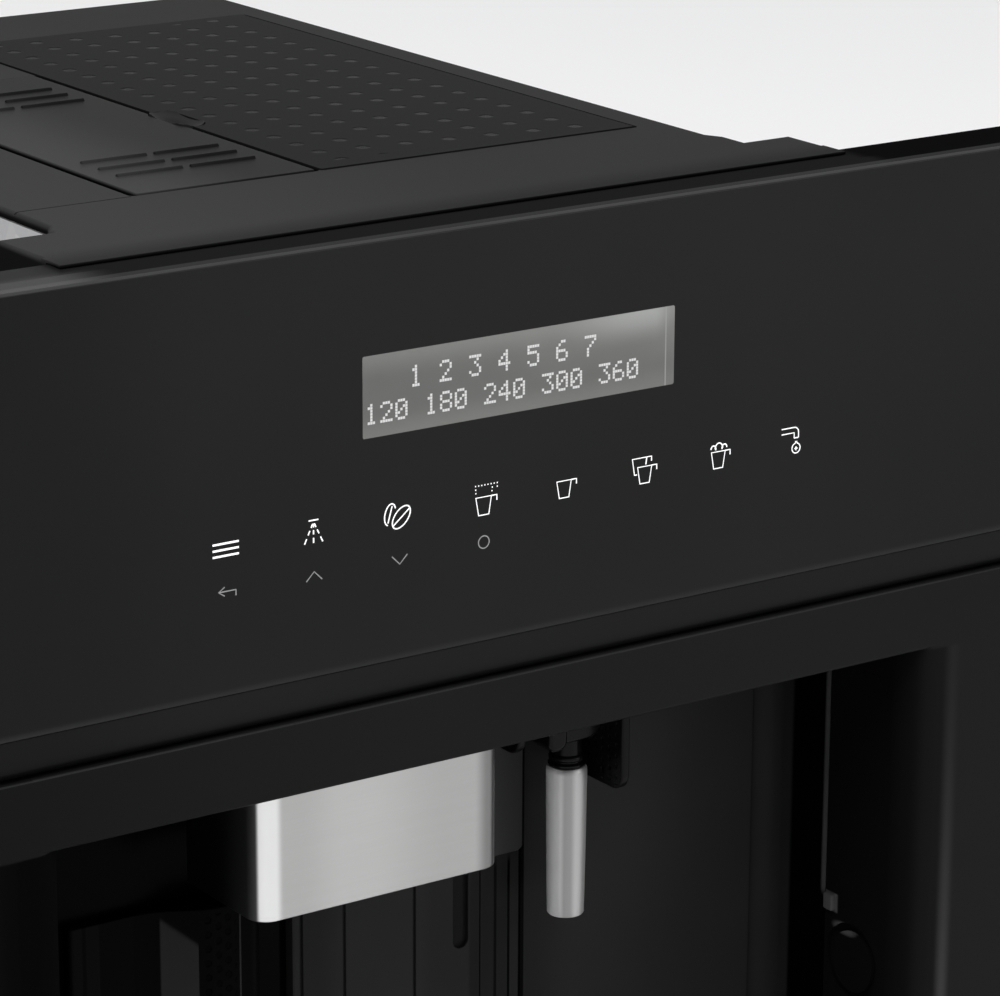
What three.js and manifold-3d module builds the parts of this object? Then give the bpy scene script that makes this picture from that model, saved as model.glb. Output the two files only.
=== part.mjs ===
// Built in coffee machine for a 45 cm cabinet niche, on telescopic runners.
// Millimetres. +Z is up, the control glass faces -Y, +X is to the right of someone who faces it.
// Depths are counted from the face of the control glass; the whole group is centred at the end.
import * as THREE from "three";
import { mergeVertices } from "three/addons/utils/BufferGeometryUtils.js";
import Module from "manifold-3d";

const wasm = await Module();
wasm.setup();

// ---------------------------------------------------------------- driving dimensions

// clearances
const GAP = 0.3; // between pieces that touch
const RUN = 0.6; // between pieces that slide or turn
const SEAM = 1; // visible seam between panels

// front
const OVERALL_DEPTH = 412;
const FRONT_WIDTH = 595;
const FRONT_HEIGHT = 455;
const FRONT_BASE = 3; // front above the cabinet floor
const PANEL_HEIGHT = 132; // control glass
const GLASS_THICK = 4;
const PANEL_DEPTH = 16; // glass face to the back of the panel frame
const CARRIER_DEPTH = 33; // glass face to the cabinet's front edge
const CHIN_HEIGHT = 13.5; // convex chin under the glass
const CHIN_RECESS = 3.5;
const BEAM_HEIGHT = 23.5;
const WALL = 2.5; // moulded walls
const STOP_PAD = 0.8; // pads that lie on the cabinet's front edge

// display and touch field
const DISPLAY_WIDTH = 116;
const DISPLAY_HEIGHT = 25.5;
const DISPLAY_DROP = 47.3; // panel top to the middle of the display
const KEY_DROP = 86.4; // panel top to the row of touch keys
const KEY_PITCH = 30.3;
const KEY_COUNT = 8;
const SIDE_BAYS = 3; // pockets in the panel frame on each side

// niche
const NICHE_WIDTH = 322;
const NICHE_ROUND = 11; // rounding between the front and the niche walls
const CHEEK_DEPTH = 43.5; // depth of the front's own niche walls
const NICHE_DEPTH = 75;
const NICHE_CORNER = 9;
const CEILING_RISE = 20; // niche ceiling above the beam's lower edge
const FACING = 2.4; // panels that face the niche's back wall
const GRID_LEVEL = 98; // top of the cup grid above the cabinet floor
const BACK_SEAM = 52; // X of the seam between the guide and the smooth back panel
const RING_RADIUS = 14; // round detail on the right niche wall
const RING_LEVEL = 167;

// service door
const DOOR_LEFT = -124;
const DOOR_RIGHT = -56;
const DOOR_DROP = 60; // beam's lower edge to the top of the door
const GUIDE_GROOVES = [5.3, 19.6, 44.5]; // right of the spout's middle
const DOOR_GRIP = 12; // how far the grip stands out of the back wall
const GRIP_HEIGHT = 78;

// spout
const SPOUT_MIDDLE = -42.5;
const SPOUT_WIDTH = 89;
const SPOUT_FRONT = 16;
const SPOUT_DROP = 47; // beam's lower edge to the spout's
const SPOUT_HEIGHT = 64;
const SPOUT_TRAVEL = 60;
const CARRIAGE_WIDTH = 24;
const CARRIAGE_FRONT = 62;
const SHEET = 1.2; // sheet metal

// hot water spout
const STEAM_X = 58.7;
const STEAM_Y = 57;
const TUBE_TOP_RADIUS = 7;
const TUBE_TIP_RADIUS = 6.3;
const TUBE_DROP = 36.2; // beam's lower edge to the tube's rim
const TUBE_LENGTH = 53.2;
const PADDLE_OFFSET = 13;
const PADDLE_THICK = 3.5;
const PADDLE_REACH = 16; // tube's axis to the paddle's front edge
const PADDLE_DROP = 44; // beam's lower edge to the paddle toe
const THUMB_OFFSET = 18;
const THUMB_DROP = 30; // beam's lower edge to the toe of the short left paddle
const NOSE_WIDTH = 8;
const HOLDER_HEIGHT = 37; // paddle toe to the holder's top
const NIPPLE_RISE = 27; // paddle toe to the water nipple

// core
const CORE_WIDTH = 250;
const CORE_BACK = 396;
const FLANGE_HALF = 145.5;
const FLANGE_DEPTH = 55;
const FLANGE_LEFT_DEPTH = 64;
const COVER_SHOULDER = 66;
const LID_FRONT = 94;
const LID_SEAM = -14;
const BEAN_RIGHT = 115;
const BEAN_BACK = 350;
const HOPPER_BACK = 254;
const GROUND_LEFT = -81;
const GROUND_BACK = 284;
const FUNNEL_BACK = 198;
const LID_REVEAL = 1.6; // wider seam on the left of the ground coffee lid
const NOTCH_HALF = 14;
const GRIP_START = 26.5; // lid's edge to its first grip line
const GRIP_PITCH = 11.6;
const LID_THICK = 5;
const SWITCH_Y = 330;
const SWITCH_Z = 380;
const INLET_X = -84;
const INLET_Z = 66;

// grinder
const GRINDER_X = 50;
const GRINDER_Y = 170;
const GRINDER_RADIUS = 39;
const MOTOR_FLANGE = 8;
const MOTOR_RADIUS = 28;
const BURR_RADIUS = 27;
const BURR_TEETH = 16;
const BURR_HEIGHT = 26;
const GRINDER_DROP = 66; // machine top to the grinder's
const GRINDER_HEIGHT = 74;
const KNOB_RADIUS = 12;

// infuser
const INFUSER_WIDTH = 60;
const INFUSER_LEFT = -120;
const INFUSER_FRONT = 86;
const INFUSER_DEPTH = 120;
const INFUSER_BASE = 122;
const INFUSER_HEIGHT = 120;
const CHAMBER_RADIUS = 20;
const DRIVE_WIDTH = 44; // gear case beside the infuser

// drip tray and grounds container
const TRAY_BASE = 20;
const TRAY_RIM = 92;
const TRAY_BACK = 226;
const WELL_FRONT = 6; // front of the bowl behind the tray face
const GROUNDS_WIDTH = 130;
const GROUNDS_DEPTH = 124;
const GRID_SLOTS = 12;
const FLOAT_X = 118;
const FLOAT_Y = 40;
const FLOAT_HOLE = 10;
const FLOAT_STEM = 4.6;

// chassis and runners
const CHASSIS_HALF = 232;
const CHASSIS_LEVEL = 14;
const CHASSIS_FLANGE = 44;
const CHASSIS_SHEET = 1.5;
const RUNNER_HEIGHT = 46;
const RUNNER_WIDTH = 14;
const RUNNER_SHEET = 1.5;
const RUNNER_LIP = 1.6;
const RUNNER_START = 45;

// pump
const PUMP_X = -70;
const PUMP_FRONT = 270;
const PUMP_LEVEL = 66;
const PUMP_LENGTH = 96;
const COIL_RADIUS = 19;
const HOSE_RADIUS = 4;
const HEATER_LEFT = 24;
const HEATER_WIDTH = 80;
const HEATER_FRONT = 262;
const HEATER_DEPTH = 88;
const HEATER_BASE = 118;
const HEATER_THICK = 34;
const BOARD_HALF = 96;
const BOARD_BASE = 196;
const BOARD_HEIGHT = 90;

// water tank
const TANK_INSET = 9; // core's side to the tank
const TANK_MARGIN = 6; // tank to the chassis flange
const TANK_FRONT = 90;
const TANK_DEPTH = 190;
const TANK_BASE = 26;
const TANK_HEIGHT = 150;

// ---------------------------------------------------------------- worked out from them

const half = FRONT_WIDTH / 2;
const frontTop = FRONT_BASE + FRONT_HEIGHT;
const glassBottom = frontTop - PANEL_HEIGHT;
const chinBottom = glassBottom - CHIN_HEIGHT;
const beamBottom = chinBottom - BEAM_HEIGHT;
const ceiling = beamBottom + CEILING_RISE;
const doorTop = beamBottom - DOOR_DROP;
const spoutBottom = beamBottom - SPOUT_DROP;
const tubeTop = beamBottom - TUBE_DROP;
const tubeTip = tubeTop - TUBE_LENGTH;
const paddleBottom = beamBottom - PADDLE_DROP;
const thumbBottom = beamBottom - THUMB_DROP;
const grinderTop = frontTop - GRINDER_DROP;
const grinderBase = grinderTop - GRINDER_HEIGHT;
const nicheHalf = NICHE_WIDTH / 2;
const nicheFloor = GRID_LEVEL + 3;
const facingBack = NICHE_DEPTH + FACING;
const linerBack = facingBack + GAP + WALL;
const coreHalf = CORE_WIDTH / 2;
const coreFront = linerBack + GAP;
const coverTop = frontTop;
const coverUnder = coverTop - WALL;
const spoutLeft = SPOUT_MIDDLE - SPOUT_WIDTH / 2;
const spoutRight = SPOUT_MIDDLE + SPOUT_WIDTH / 2;
const displayMiddle = frontTop - DISPLAY_DROP;
const keyRow = frontTop - KEY_DROP;
const infuserMiddle = INFUSER_LEFT + INFUSER_WIDTH / 2;
const infuserTop = INFUSER_BASE + INFUSER_HEIGHT;
const runnerInside = CHASSIS_HALF + GAP;
const tankTop = TANK_BASE + TANK_HEIGHT;
const tankBack = TANK_FRONT + TANK_DEPTH;
const tankLeft = coreHalf + TANK_INSET;
const tankRight = CHASSIS_HALF - TANK_MARGIN;
const valveX = (tankLeft + tankRight) / 2;
const valveY = (TANK_FRONT + tankBack) / 2;
const hoseY = tankBack - 30;
const hoseZ = CHASSIS_LEVEL + 22;
const pocketHalf = ((KEY_COUNT - 1) / 2) * KEY_PITCH + 22; // middle pocket of the panel frame
const carriageHalf = CARRIAGE_WIDTH / 2;
const holderTop = paddleBottom + HOLDER_HEIGHT;
const holderMiddle = paddleBottom + NIPPLE_RISE;
const holderBack = NICHE_DEPTH - 6;
const trayFrontHalf = nicheHalf - RUN;
const trayBackHalf = coreHalf - SHEET - 2 - RUN;
const beadTop = CHASSIS_LEVEL + 3.1;
const deckTop = CHASSIS_LEVEL + CHASSIS_SHEET + GAP;
const coreTop = coverUnder - GAP;
const outerWeb = runnerInside + RUNNER_WIDTH;
const middleWeb = outerWeb - RUNNER_SHEET - RUN - 1;
const middleReach = runnerInside + 4;
const knobX = BEAN_RIGHT - 30;
const knobY = LID_FRONT + 24;
const hopperBox = [LID_SEAM + 9, BEAN_RIGHT - 8, LID_FRONT + 46, HOPPER_BACK];
const funnelBox = [GROUND_LEFT + 9, LID_SEAM - 12, LID_FRONT + 10, FUNNEL_BACK];
const notchMiddle = (LID_FRONT + GROUND_BACK) / 2;
const burrBase = grinderBase + 30;
const driveLeft = INFUSER_LEFT + INFUSER_WIDTH + RUN;
const infuserY = INFUSER_FRONT + INFUSER_DEPTH / 2;

// ---------------------------------------------------------------- materials

function material(color, roughness, metalness = 0) {
  return new THREE.MeshStandardMaterial({ color, roughness, metalness });
}

const blackGlass = material(0x0a0b0c, 0.06);
const glossBlack = material(0x141517, 0.2);
const satinBlack = material(0x1f2022, 0.42);
const darkGrey = material(0x34363a, 0.5);
const lightGrey = material(0x8b8e92, 0.5);
const brushedSteel = material(0xb9bcc0, 0.32, 1);
const polishedSteel = material(0xd0d2d4, 0.14, 1);
const zincSheet = material(0x9a9da0, 0.4, 0.9);
const castAluminium = material(0xa7a9ab, 0.45, 0.9);
const signalRed = material(0xb5241c, 0.4);
const boardGreen = material(0x1d4d35, 0.6);
const smokedClear = material(0x5b6166, 0.12);
const lcdBlue = material(0x0f2438, 0.2);

// ---------------------------------------------------------------- shapes and solids

const axisX = new THREE.Vector3(1, 0, 0);
const axisY = new THREE.Vector3(0, 1, 0);
const axisZ = new THREE.Vector3(0, 0, 1);

// An outline through the given corners.
function polygon(...points) {
  return new THREE.Shape(points.map(([x, y]) => new THREE.Vector2(x, y)));
}

// A rectangle with rounded corners, radii from the lower left, anticlockwise.
function rounded(x0, y0, x1, y1, r, radii = [r, r, r, r]) {
  const shape = new THREE.Shape();
  const [a, b, c, d] = radii;
  shape.moveTo(x0 + a, y0);
  shape.lineTo(x1 - b, y0);
  if (b) shape.absarc(x1 - b, y0 + b, b, -Math.PI / 2, 0);
  shape.lineTo(x1, y1 - c);
  if (c) shape.absarc(x1 - c, y1 - c, c, 0, Math.PI / 2);
  shape.lineTo(x0 + d, y1);
  if (d) shape.absarc(x0 + d, y1 - d, d, Math.PI / 2, Math.PI);
  shape.lineTo(x0, y0 + a);
  if (a) shape.absarc(x0 + a, y0 + a, a, Math.PI, Math.PI * 1.5);
  return shape;
}

// Extrudes an outline by a length, with its rims eased by a bevel that stays inside the outline.
function extrude(shape, length, bevel, arcs) {
  return new THREE.ExtrudeGeometry(shape, {
    depth: length - 2 * bevel,
    bevelEnabled: bevel > 0,
    bevelThickness: bevel,
    bevelSize: bevel,
    bevelOffset: -bevel,
    bevelSegments: 1,
    curveSegments: arcs,
  }).translate(0, 0, bevel);
}

// An outline drawn in X and Y, standing between two heights.
function alongZ(shape, z0, z1, bevel = 0, arcs = 1) {
  return extrude(shape, z1 - z0, bevel, arcs).translate(0, 0, z0);
}

// An outline drawn in X and Z, between two depths.
function alongY(shape, y0, y1, bevel = 0, arcs = 1) {
  return extrude(shape, y1 - y0, bevel, arcs)
    .rotateX(Math.PI / 2)
    .translate(0, y1, 0);
}

// An outline drawn in Y and Z, between two widths.
function alongX(shape, x0, x1, bevel = 0, arcs = 1) {
  const turn = new THREE.Matrix4().makeBasis(axisY, axisZ, axisX);
  return extrude(shape, x1 - x0, bevel, arcs)
    .applyMatrix4(turn)
    .translate(x0, 0, 0);
}

function box(x0, x1, y0, y1, z0, z1) {
  return new THREE.BoxGeometry(x1 - x0, y1 - y0, z1 - z0).translate(
    (x0 + x1) / 2,
    (y0 + y1) / 2,
    (z0 + z1) / 2,
  );
}

// A profile of [radius, height] corners, closed on the axis, turned about Z.
function turned(profile, segments = 24) {
  const points = profile.map(([r, z]) => new THREE.Vector2(r, z));
  return new THREE.LatheGeometry(points, segments).rotateX(Math.PI / 2);
}

function cylinder(radius, z0, z1, segments = 24, topRadius = radius) {
  return new THREE.CylinderGeometry(topRadius, radius, z1 - z0, segments)
    .rotateX(Math.PI / 2)
    .translate(0, 0, (z0 + z1) / 2);
}

// A tube of round section along a smooth curve through the given points.
function tube(points, radius, steps = 20) {
  const section = new THREE.Shape().absarc(0, 0, radius, 0, Math.PI * 2);
  const extrudePath = new THREE.CatmullRomCurve3(
    points.map((p) => new THREE.Vector3(...p)),
    false,
    "centripetal",
  );
  return new THREE.ExtrudeGeometry(section, {
    steps,
    curveSegments: 4,
    extrudePath,
  });
}

// A funnel wall between two rectangles [x0, x1, y0, y1] at two heights.
function loft(low, z0, high, z1) {
  const solid = box(-0.5, 0.5, -0.5, 0.5, -0.5, 0.5);
  const place = solid.getAttribute("position");
  for (let i = 0; i < place.count; i++) {
    const top = place.getZ(i) > 0;
    const [x0, x1, y0, y1] = top ? high : low;
    place.setXYZ(
      i,
      place.getX(i) > 0 ? x1 : x0,
      place.getY(i) > 0 ? y1 : y0,
      top ? z1 : z0,
    );
  }
  solid.computeVertexNormals();
  return solid;
}

function mirrored(geometry) {
  const copy = geometry.index ? geometry.toNonIndexed() : geometry.clone();
  copy.scale(-1, 1, 1);
  for (const attribute of Object.values(copy.attributes)) {
    const { array, itemSize } = attribute;
    for (let i = 0; i < array.length; i += itemSize * 3) {
      const second = array.slice(i + itemSize, i + 2 * itemSize);
      array.copyWithin(i + itemSize, i + 2 * itemSize, i + 3 * itemSize);
      array.set(second, i + 2 * itemSize);
    }
  }
  return copy;
}

function toSolid(geometry) {
  const bare = new THREE.BufferGeometry();
  const source = geometry.index ? geometry.toNonIndexed() : geometry;
  bare.setAttribute("position", source.getAttribute("position"));
  const merged = mergeVertices(bare, 1e-3);
  return new wasm.Manifold(
    new wasm.Mesh({
      numProp: 3,
      vertProperties: merged.attributes.position.array,
      triVerts: new Uint32Array(merged.index.array),
    }),
  );
}

function toGeometry(solid) {
  const { numProp, vertProperties, triVerts } = solid.getMesh();
  const place = new Float32Array((vertProperties.length / numProp) * 3);
  for (let i = 0; i < place.length / 3; i++) {
    place.set(vertProperties.subarray(i * numProp, i * numProp + 3), i * 3);
  }
  const indexed = new THREE.BufferGeometry();
  indexed.setAttribute("position", new THREE.BufferAttribute(place, 3));
  indexed.setIndex(new THREE.BufferAttribute(triVerts, 1));
  const geometry = indexed.toNonIndexed();
  geometry.computeVertexNormals();
  return geometry;
}

function join(...pieces) {
  return toGeometry(wasm.Manifold.union(pieces.map(toSolid)));
}

function cut(piece, ...tools) {
  return toGeometry(toSolid(piece).subtract(wasm.Manifold.union(tools.map(toSolid))));
}

function common(a, b) {
  return toGeometry(toSolid(a).intersect(toSolid(b)));
}

const machine = new THREE.Group();
machine.position.y = -OVERALL_DEPTH / 2;

function add(name, geometry, look) {
  const mesh = new THREE.Mesh(geometry, look);
  mesh.name = name;
  machine.add(mesh);
}

// ---------------------------------------------------------------- control panel

function controlGlass() {
  const outline = rounded(-half, glassBottom, half, frontTop, 1.5);
  return alongY(outline, 0, GLASS_THICK, 0.5, 1);
}

// Carries the glass; its lower edge is the convex chin. Pockets behind it hold the electronics.
function panelFrame() {
  const front = GLASS_THICK + GAP;
  const top = frontTop - GAP;
  const section = new THREE.Shape();
  section.moveTo(front, top);
  section.lineTo(front, glassBottom - GAP);
  section.lineTo(GAP, glassBottom - GAP);
  section.absellipse(
    CHIN_RECESS,
    glassBottom - GAP,
    CHIN_RECESS - GAP,
    CHIN_HEIGHT - 2 * GAP,
    Math.PI,
    Math.PI * 1.5,
  );
  section.lineTo(PANEL_DEPTH, chinBottom + GAP);
  section.lineTo(PANEL_DEPTH, top);
  const body = alongX(section, GAP - half, half - GAP, 0, 3);

  const floor = front + 2;
  const behind = PANEL_DEPTH + 1;
  const low = glassBottom + 5;
  const high = frontTop - 8;
  const tools = [];
  const bay = (half - pocketHalf - WALL) / SIDE_BAYS;
  for (let i = 0; i < SIDE_BAYS; i++) {
    const x0 = pocketHalf + WALL + i * bay;
    const side = box(x0, x0 + bay - WALL, floor, behind, low, high);
    tools.push(side, mirrored(side));
  }
  tools.push(box(-pocketHalf, pocketHalf, floor, behind, low, high));
  const windowHalf = DISPLAY_WIDTH / 2;
  const windowRise = DISPLAY_HEIGHT / 2;
  tools.push(
    box(-windowHalf, windowHalf, 0, floor + 1, displayMiddle - windowRise, displayMiddle + windowRise),
  );
  const strip = rounded(8 - pocketHalf, keyRow - 5.5, pocketHalf - 8, keyRow + 5.5, 5);
  tools.push(alongY(strip, 0, floor + 1));
  return cut(body, ...tools);
}

// Shallow moulded tray that closes the panel from behind, ribbed inside.
function panelCover() {
  const front = PANEL_DEPTH + GAP;
  const top = frontTop - 1.2;
  const low = chinBottom + GAP;
  const outline = rounded(SEAM - half, low, half - SEAM, top, 3);
  const body = alongY(outline, front, CARRIER_DEPTH, 0, 1);
  const bays = 6;
  const inner = half - SEAM - WALL;
  const pitch = (2 * inner + WALL) / bays;
  const tools = [];
  for (let i = 0; i < bays; i++) {
    const x0 = -inner + i * pitch;
    tools.push(
      box(x0, x0 + pitch - WALL, front - 1, CARRIER_DEPTH - WALL, low + WALL, top - WALL),
    );
  }
  const cableWay = rounded(-30, low + 18, -6, low + 34, 5);
  tools.push(alongY(cableWay, CARRIER_DEPTH - WALL - 1, CARRIER_DEPTH + 1));
  const padLeft = half - 15;
  const pad = box(
    padLeft,
    padLeft + 11,
    CARRIER_DEPTH - 1,
    CARRIER_DEPTH + STOP_PAD,
    glassBottom + 12,
    frontTop - 12,
  );
  return join(cut(body, ...tools), pad, mirrored(pad));
}

// Liquid crystal module: board, metal bezel and glass window in one unit.
function displayModule() {
  const w = DISPLAY_WIDTH / 2;
  const h = DISPLAY_HEIGHT / 2;
  const front = GLASS_THICK + 2 * GAP;
  const seat = GLASS_THICK + GAP + 2 + GAP;
  const lens = alongY(
    rounded(GAP - w, displayMiddle - h + GAP, w - GAP, displayMiddle + h - GAP, 1),
    front,
    seat + 1,
  );
  const bezel = alongY(
    rounded(-w - 6, displayMiddle - h - 5, w + 6, displayMiddle + h + 5, 2),
    seat,
    PANEL_DEPTH - WALL,
    0.6,
  );
  return join(lens, bezel);
}

// Touch board with one sensor dome behind each key symbol.
function touchBoard() {
  const seat = GLASS_THICK + GAP + 2 + GAP;
  const pieces = [];
  const reach = ((KEY_COUNT - 1) / 2) * KEY_PITCH;
  pieces.push(
    alongY(rounded(-reach - 14, keyRow - 16, reach + 14, keyRow + 10, 2), seat, seat + 1.6),
  );
  for (let i = 0; i < KEY_COUNT; i++) {
    const x = i * KEY_PITCH - reach;
    pieces.push(
      cylinder(4.4, 0, seat - GLASS_THICK - GAP, 6)
        .rotateX(-Math.PI / 2)
        .translate(x, GLASS_THICK + 2 * GAP, keyRow),
    );
  }
  pieces.push(box(-12, 12, seat + 1, seat + 6, keyRow - 12, keyRow - 4));
  return join(...pieces);
}

// ---------------------------------------------------------------- front surround

// Plan outline of the right column: flat front, rounded into the niche wall.
function columnPlan(inset, back) {
  const r = NICHE_ROUND;
  const x = nicheHalf;
  const shape = new THREE.Shape();
  shape.moveTo(x + inset, CHEEK_DEPTH + back);
  shape.lineTo(x + inset, r);
  shape.absarc(x + r, r, r - inset, Math.PI, Math.PI * 1.5);
  shape.lineTo(half - inset, inset);
  shape.lineTo(half - inset, CARRIER_DEPTH + back);
  shape.lineTo(x + r, CARRIER_DEPTH + back);
  shape.lineTo(x + r, CHEEK_DEPTH + back);
  return shape;
}

function column() {
  const shell = cut(
    alongZ(columnPlan(0, 0), FRONT_BASE, chinBottom, 0, 2),
    alongZ(columnPlan(WALL, 1), FRONT_BASE - 1, chinBottom + 1, 0, 2),
  );
  const shelves = [];
  const bays = 3;
  const filled = columnPlan(WALL / 2, -1);
  for (let i = 0; i <= bays; i++) {
    const z = FRONT_BASE + (i * (chinBottom - FRONT_BASE - WALL)) / bays;
    shelves.push(alongZ(filled, z, z + WALL));
  }
  return join(shell, ...shelves);
}

function frontFrame() {
  const right = column();
  const section = new THREE.Shape();
  section.moveTo(0, chinBottom);
  section.lineTo(0, beamBottom + 2);
  section.absarc(2, beamBottom + 2, 2, Math.PI, Math.PI * 1.5);
  section.lineTo(WALL + 0.8, beamBottom);
  section.lineTo(WALL + 0.8, chinBottom - WALL);
  section.lineTo(CARRIER_DEPTH, chinBottom - WALL);
  section.lineTo(CARRIER_DEPTH, chinBottom);
  const overlap = NICHE_ROUND;
  const beam = alongX(section, -nicheHalf - overlap, nicheHalf + overlap, 0, 2);
  const ringAt = [NICHE_ROUND + (CHEEK_DEPTH - NICHE_ROUND) / 2 + 1, RING_LEVEL];
  const ring = (radius, depth) =>
    cylinder(radius, 0, depth, 16)
      .rotateY(Math.PI / 2)
      .translate(nicheHalf, ringAt[0], ringAt[1]);
  const lugBase = RING_LEVEL + RING_RADIUS + 2;
  const lug = alongX(
    rounded(CHEEK_DEPTH - 6, lugBase, CHEEK_DEPTH - 1, lugBase + 6, 1.5),
    nicheHalf - 2,
    nicheHalf + 1,
    0.5,
    1,
  );
  const shallow = cut(ring(RING_RADIUS, 1.2), ring(RING_RADIUS - 3, 1.2));
  const whole = join(right, mirrored(right), beam, lug);
  return cut(whole, shallow.translate(-GAP, 0, 0));
}

// ---------------------------------------------------------------- niche

// Three walls and a ceiling in one moulding, open to the front and below.
function nicheLiner() {
  const h = nicheHalf;
  const front = CHEEK_DEPTH + GAP;
  const back = facingBack + GAP;
  const r = NICHE_CORNER;
  const outer = rounded(-h - WALL, front, h + WALL, linerBack, r, [0, 0, r + WALL, r + WALL]);
  const inner = rounded(-h, front - 1, h, back, r, [0, 0, r, r]);
  const body = cut(
    alongZ(outer, nicheFloor, ceiling + WALL, 0, 2),
    alongZ(inner, nicheFloor - 1, ceiling, 0, 2),
  );
  const carriageSlot = box(
    SPOUT_MIDDLE - carriageHalf - RUN,
    SPOUT_MIDDLE + carriageHalf + RUN,
    CARRIAGE_FRONT - RUN,
    NICHE_DEPTH - 2 + GAP,
    ceiling - 1,
    ceiling + WALL + 1,
  );
  const doorway = alongY(
    rounded(DOOR_LEFT + 6, nicheFloor + 5, DOOR_RIGHT - 6, doorTop - 5, 3),
    back - 1,
    linerBack + 1,
  );
  const waterWay = cylinder(4, back - 1, linerBack + 1, 16)
    .rotateX(-Math.PI / 2)
    .translate(STEAM_X, 0, holderMiddle);
  return cut(body, carriageSlot, doorway, waterWay);
}

function nicheBackPanel() {
  const outline = rounded(
    BACK_SEAM + SEAM / 2,
    nicheFloor,
    nicheHalf - NICHE_CORNER - GAP,
    ceiling - GAP,
    1.5,
  );
  const plate = alongY(outline, NICHE_DEPTH, facingBack, 0.5, 2);
  const waterWay = cylinder(4, NICHE_DEPTH - 1, facingBack + 1, 16)
    .rotateX(-Math.PI / 2)
    .translate(STEAM_X, 0, holderMiddle);
  return cut(plate, waterWay);
}

// Guide plate for the sliding spout: grooved, with one long guide slot and a raised rib.
function spoutGuide() {
  const left = DOOR_RIGHT + SEAM;
  const right = BACK_SEAM - SEAM / 2;
  const top = ceiling - GAP;
  const front = NICHE_DEPTH - 2;
  const plate = alongY(rounded(left, nicheFloor, right, top, 1), front, facingBack, 0.5, 2);
  const rib = alongY(
    rounded(right - 17, nicheFloor + 118, right, top, 3, [3, 3, 0, 0]),
    front - 1.5,
    front + 1,
  );
  const slotHalf = 2.5;
  const slotEnd = spoutBottom - SPOUT_TRAVEL - 6;
  const roundBelow = [slotHalf, slotHalf, 0, 0];
  const slot = alongY(
    rounded(SPOUT_MIDDLE - slotHalf, slotEnd, SPOUT_MIDDLE + slotHalf, top + 1, 0, roundBelow),
    front - 1,
    facingBack + 1,
  );
  const blind = alongY(
    rounded(right - 25, nicheFloor + 88, right - 21, top + 1, 2, [2, 2, 0, 0]),
    front - 1,
    front + 2.6,
  );
  const groove = (x) => box(x - 0.5, x + 0.5, front - 1, front + 1, nicheFloor - 1, top + 1);
  const grooves = GUIDE_GROOVES.map((x) => groove(SPOUT_MIDDLE + x));
  return cut(join(plate, rib), slot, blind, ...grooves);
}

// Hinged door in front of the infuser, round at its hinge. At the top its free side swells into
// a dimpled finger grip.
function serviceDoor() {
  const left = DOOR_LEFT + SEAM;
  const right = DOOR_RIGHT;
  const back = facingBack;
  const front = NICHE_DEPTH - 2;
  const out = NICHE_DEPTH - DOOR_GRIP;
  const r = (back - front) / 2;
  const leaf = new THREE.Shape();
  leaf.absarc(left + r, front + r, r, Math.PI / 2, Math.PI * 1.5);
  leaf.lineTo(right, front);
  leaf.lineTo(right, back);
  const swell = new THREE.Shape();
  swell.moveTo(right - 44, front + 3);
  swell.lineTo(right - 44, front);
  swell.bezierCurveTo(right - 32, front, right - 26, out + 1, right - 16, out + 0.6);
  swell.absarc(right - 6, out + 6, 6, -Math.PI / 2, 0);
  swell.lineTo(right, front + 3);
  const hollow = polygon(
    [right - 30, back + 1],
    [right - 30, front + 1.6],
    [right - 16, out + 3],
    [right - 7, out + 3],
    [right - 3, back + 1],
  );
  const gripLow = doorTop - GRIP_HEIGHT;
  const dimples = [];
  for (let row = 0; row < 8; row++) {
    const x = right - 15 + (row % 2) * 5;
    const z = doorTop - 9 - row * 3.5;
    dimples.push(new THREE.SphereGeometry(1.4, 6, 2).translate(x, out + 0.1, z));
  }
  return cut(
    join(alongZ(leaf, nicheFloor + 2, doorTop, 0.6, 3), alongZ(swell, gripLow, doorTop, 1, 4)),
    alongZ(hollow, gripLow + 3, doorTop - 4),
    ...dimples,
  );
}

// ---------------------------------------------------------------- coffee spout

function spoutShell() {
  const back = CARRIAGE_FRONT - 2;
  const r = 7;
  const outer = rounded(spoutLeft, SPOUT_FRONT, spoutRight, back, r, [r, r, 0, 0]);
  const t = SHEET;
  const inner = rounded(spoutLeft + t, SPOUT_FRONT + t, spoutRight - t, back + 1, r, [
    r - t,
    r - t,
    0,
    0,
  ]);
  const top = spoutBottom + SPOUT_HEIGHT;
  return cut(
    alongZ(outer, spoutBottom, top, 0, 3),
    alongZ(inner, spoutBottom - 1, top + 1, 0, 3),
  );
}

// Moulded body inside the shell with the two coffee outlets.
function spoutBody() {
  const t = SHEET + GAP;
  const r = 6;
  const back = CARRIAGE_FRONT - GAP;
  const top = spoutBottom + SPOUT_HEIGHT - 1;
  const plan = rounded(spoutLeft + t, SPOUT_FRONT + t, spoutRight - t, back, r, [r, r, 0, 0]);
  const block = alongZ(plan, spoutBottom + 3, top, 0, 2);
  const well = alongZ(
    rounded(spoutLeft + 9, SPOUT_FRONT + 9, spoutRight - 9, back - 7, 4),
    spoutBottom + 14,
    top + 1,
  );
  const under = alongZ(
    rounded(spoutLeft + 6, SPOUT_FRONT + 6, spoutRight - 6, back - 6, 5),
    spoutBottom,
    spoutBottom + 6,
  );
  const pieces = [];
  const bores = [];
  for (const side of [-1, 1]) {
    const x = SPOUT_MIDDLE + side * 13;
    const y = (SPOUT_FRONT + back) / 2;
    const low = spoutBottom - 5;
    const outlet = turned(
      [[0, low], [4.2, low], [5.2, low + 2], [6.4, low + 13], [0, low + 13]],
      12,
    );
    pieces.push(outlet.translate(x, y, 0));
    bores.push(cylinder(2.6, low - 1, spoutBottom + 20, 10).translate(x, y, 0));
  }
  return cut(join(cut(block, well, under), ...pieces), ...bores);
}

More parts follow.
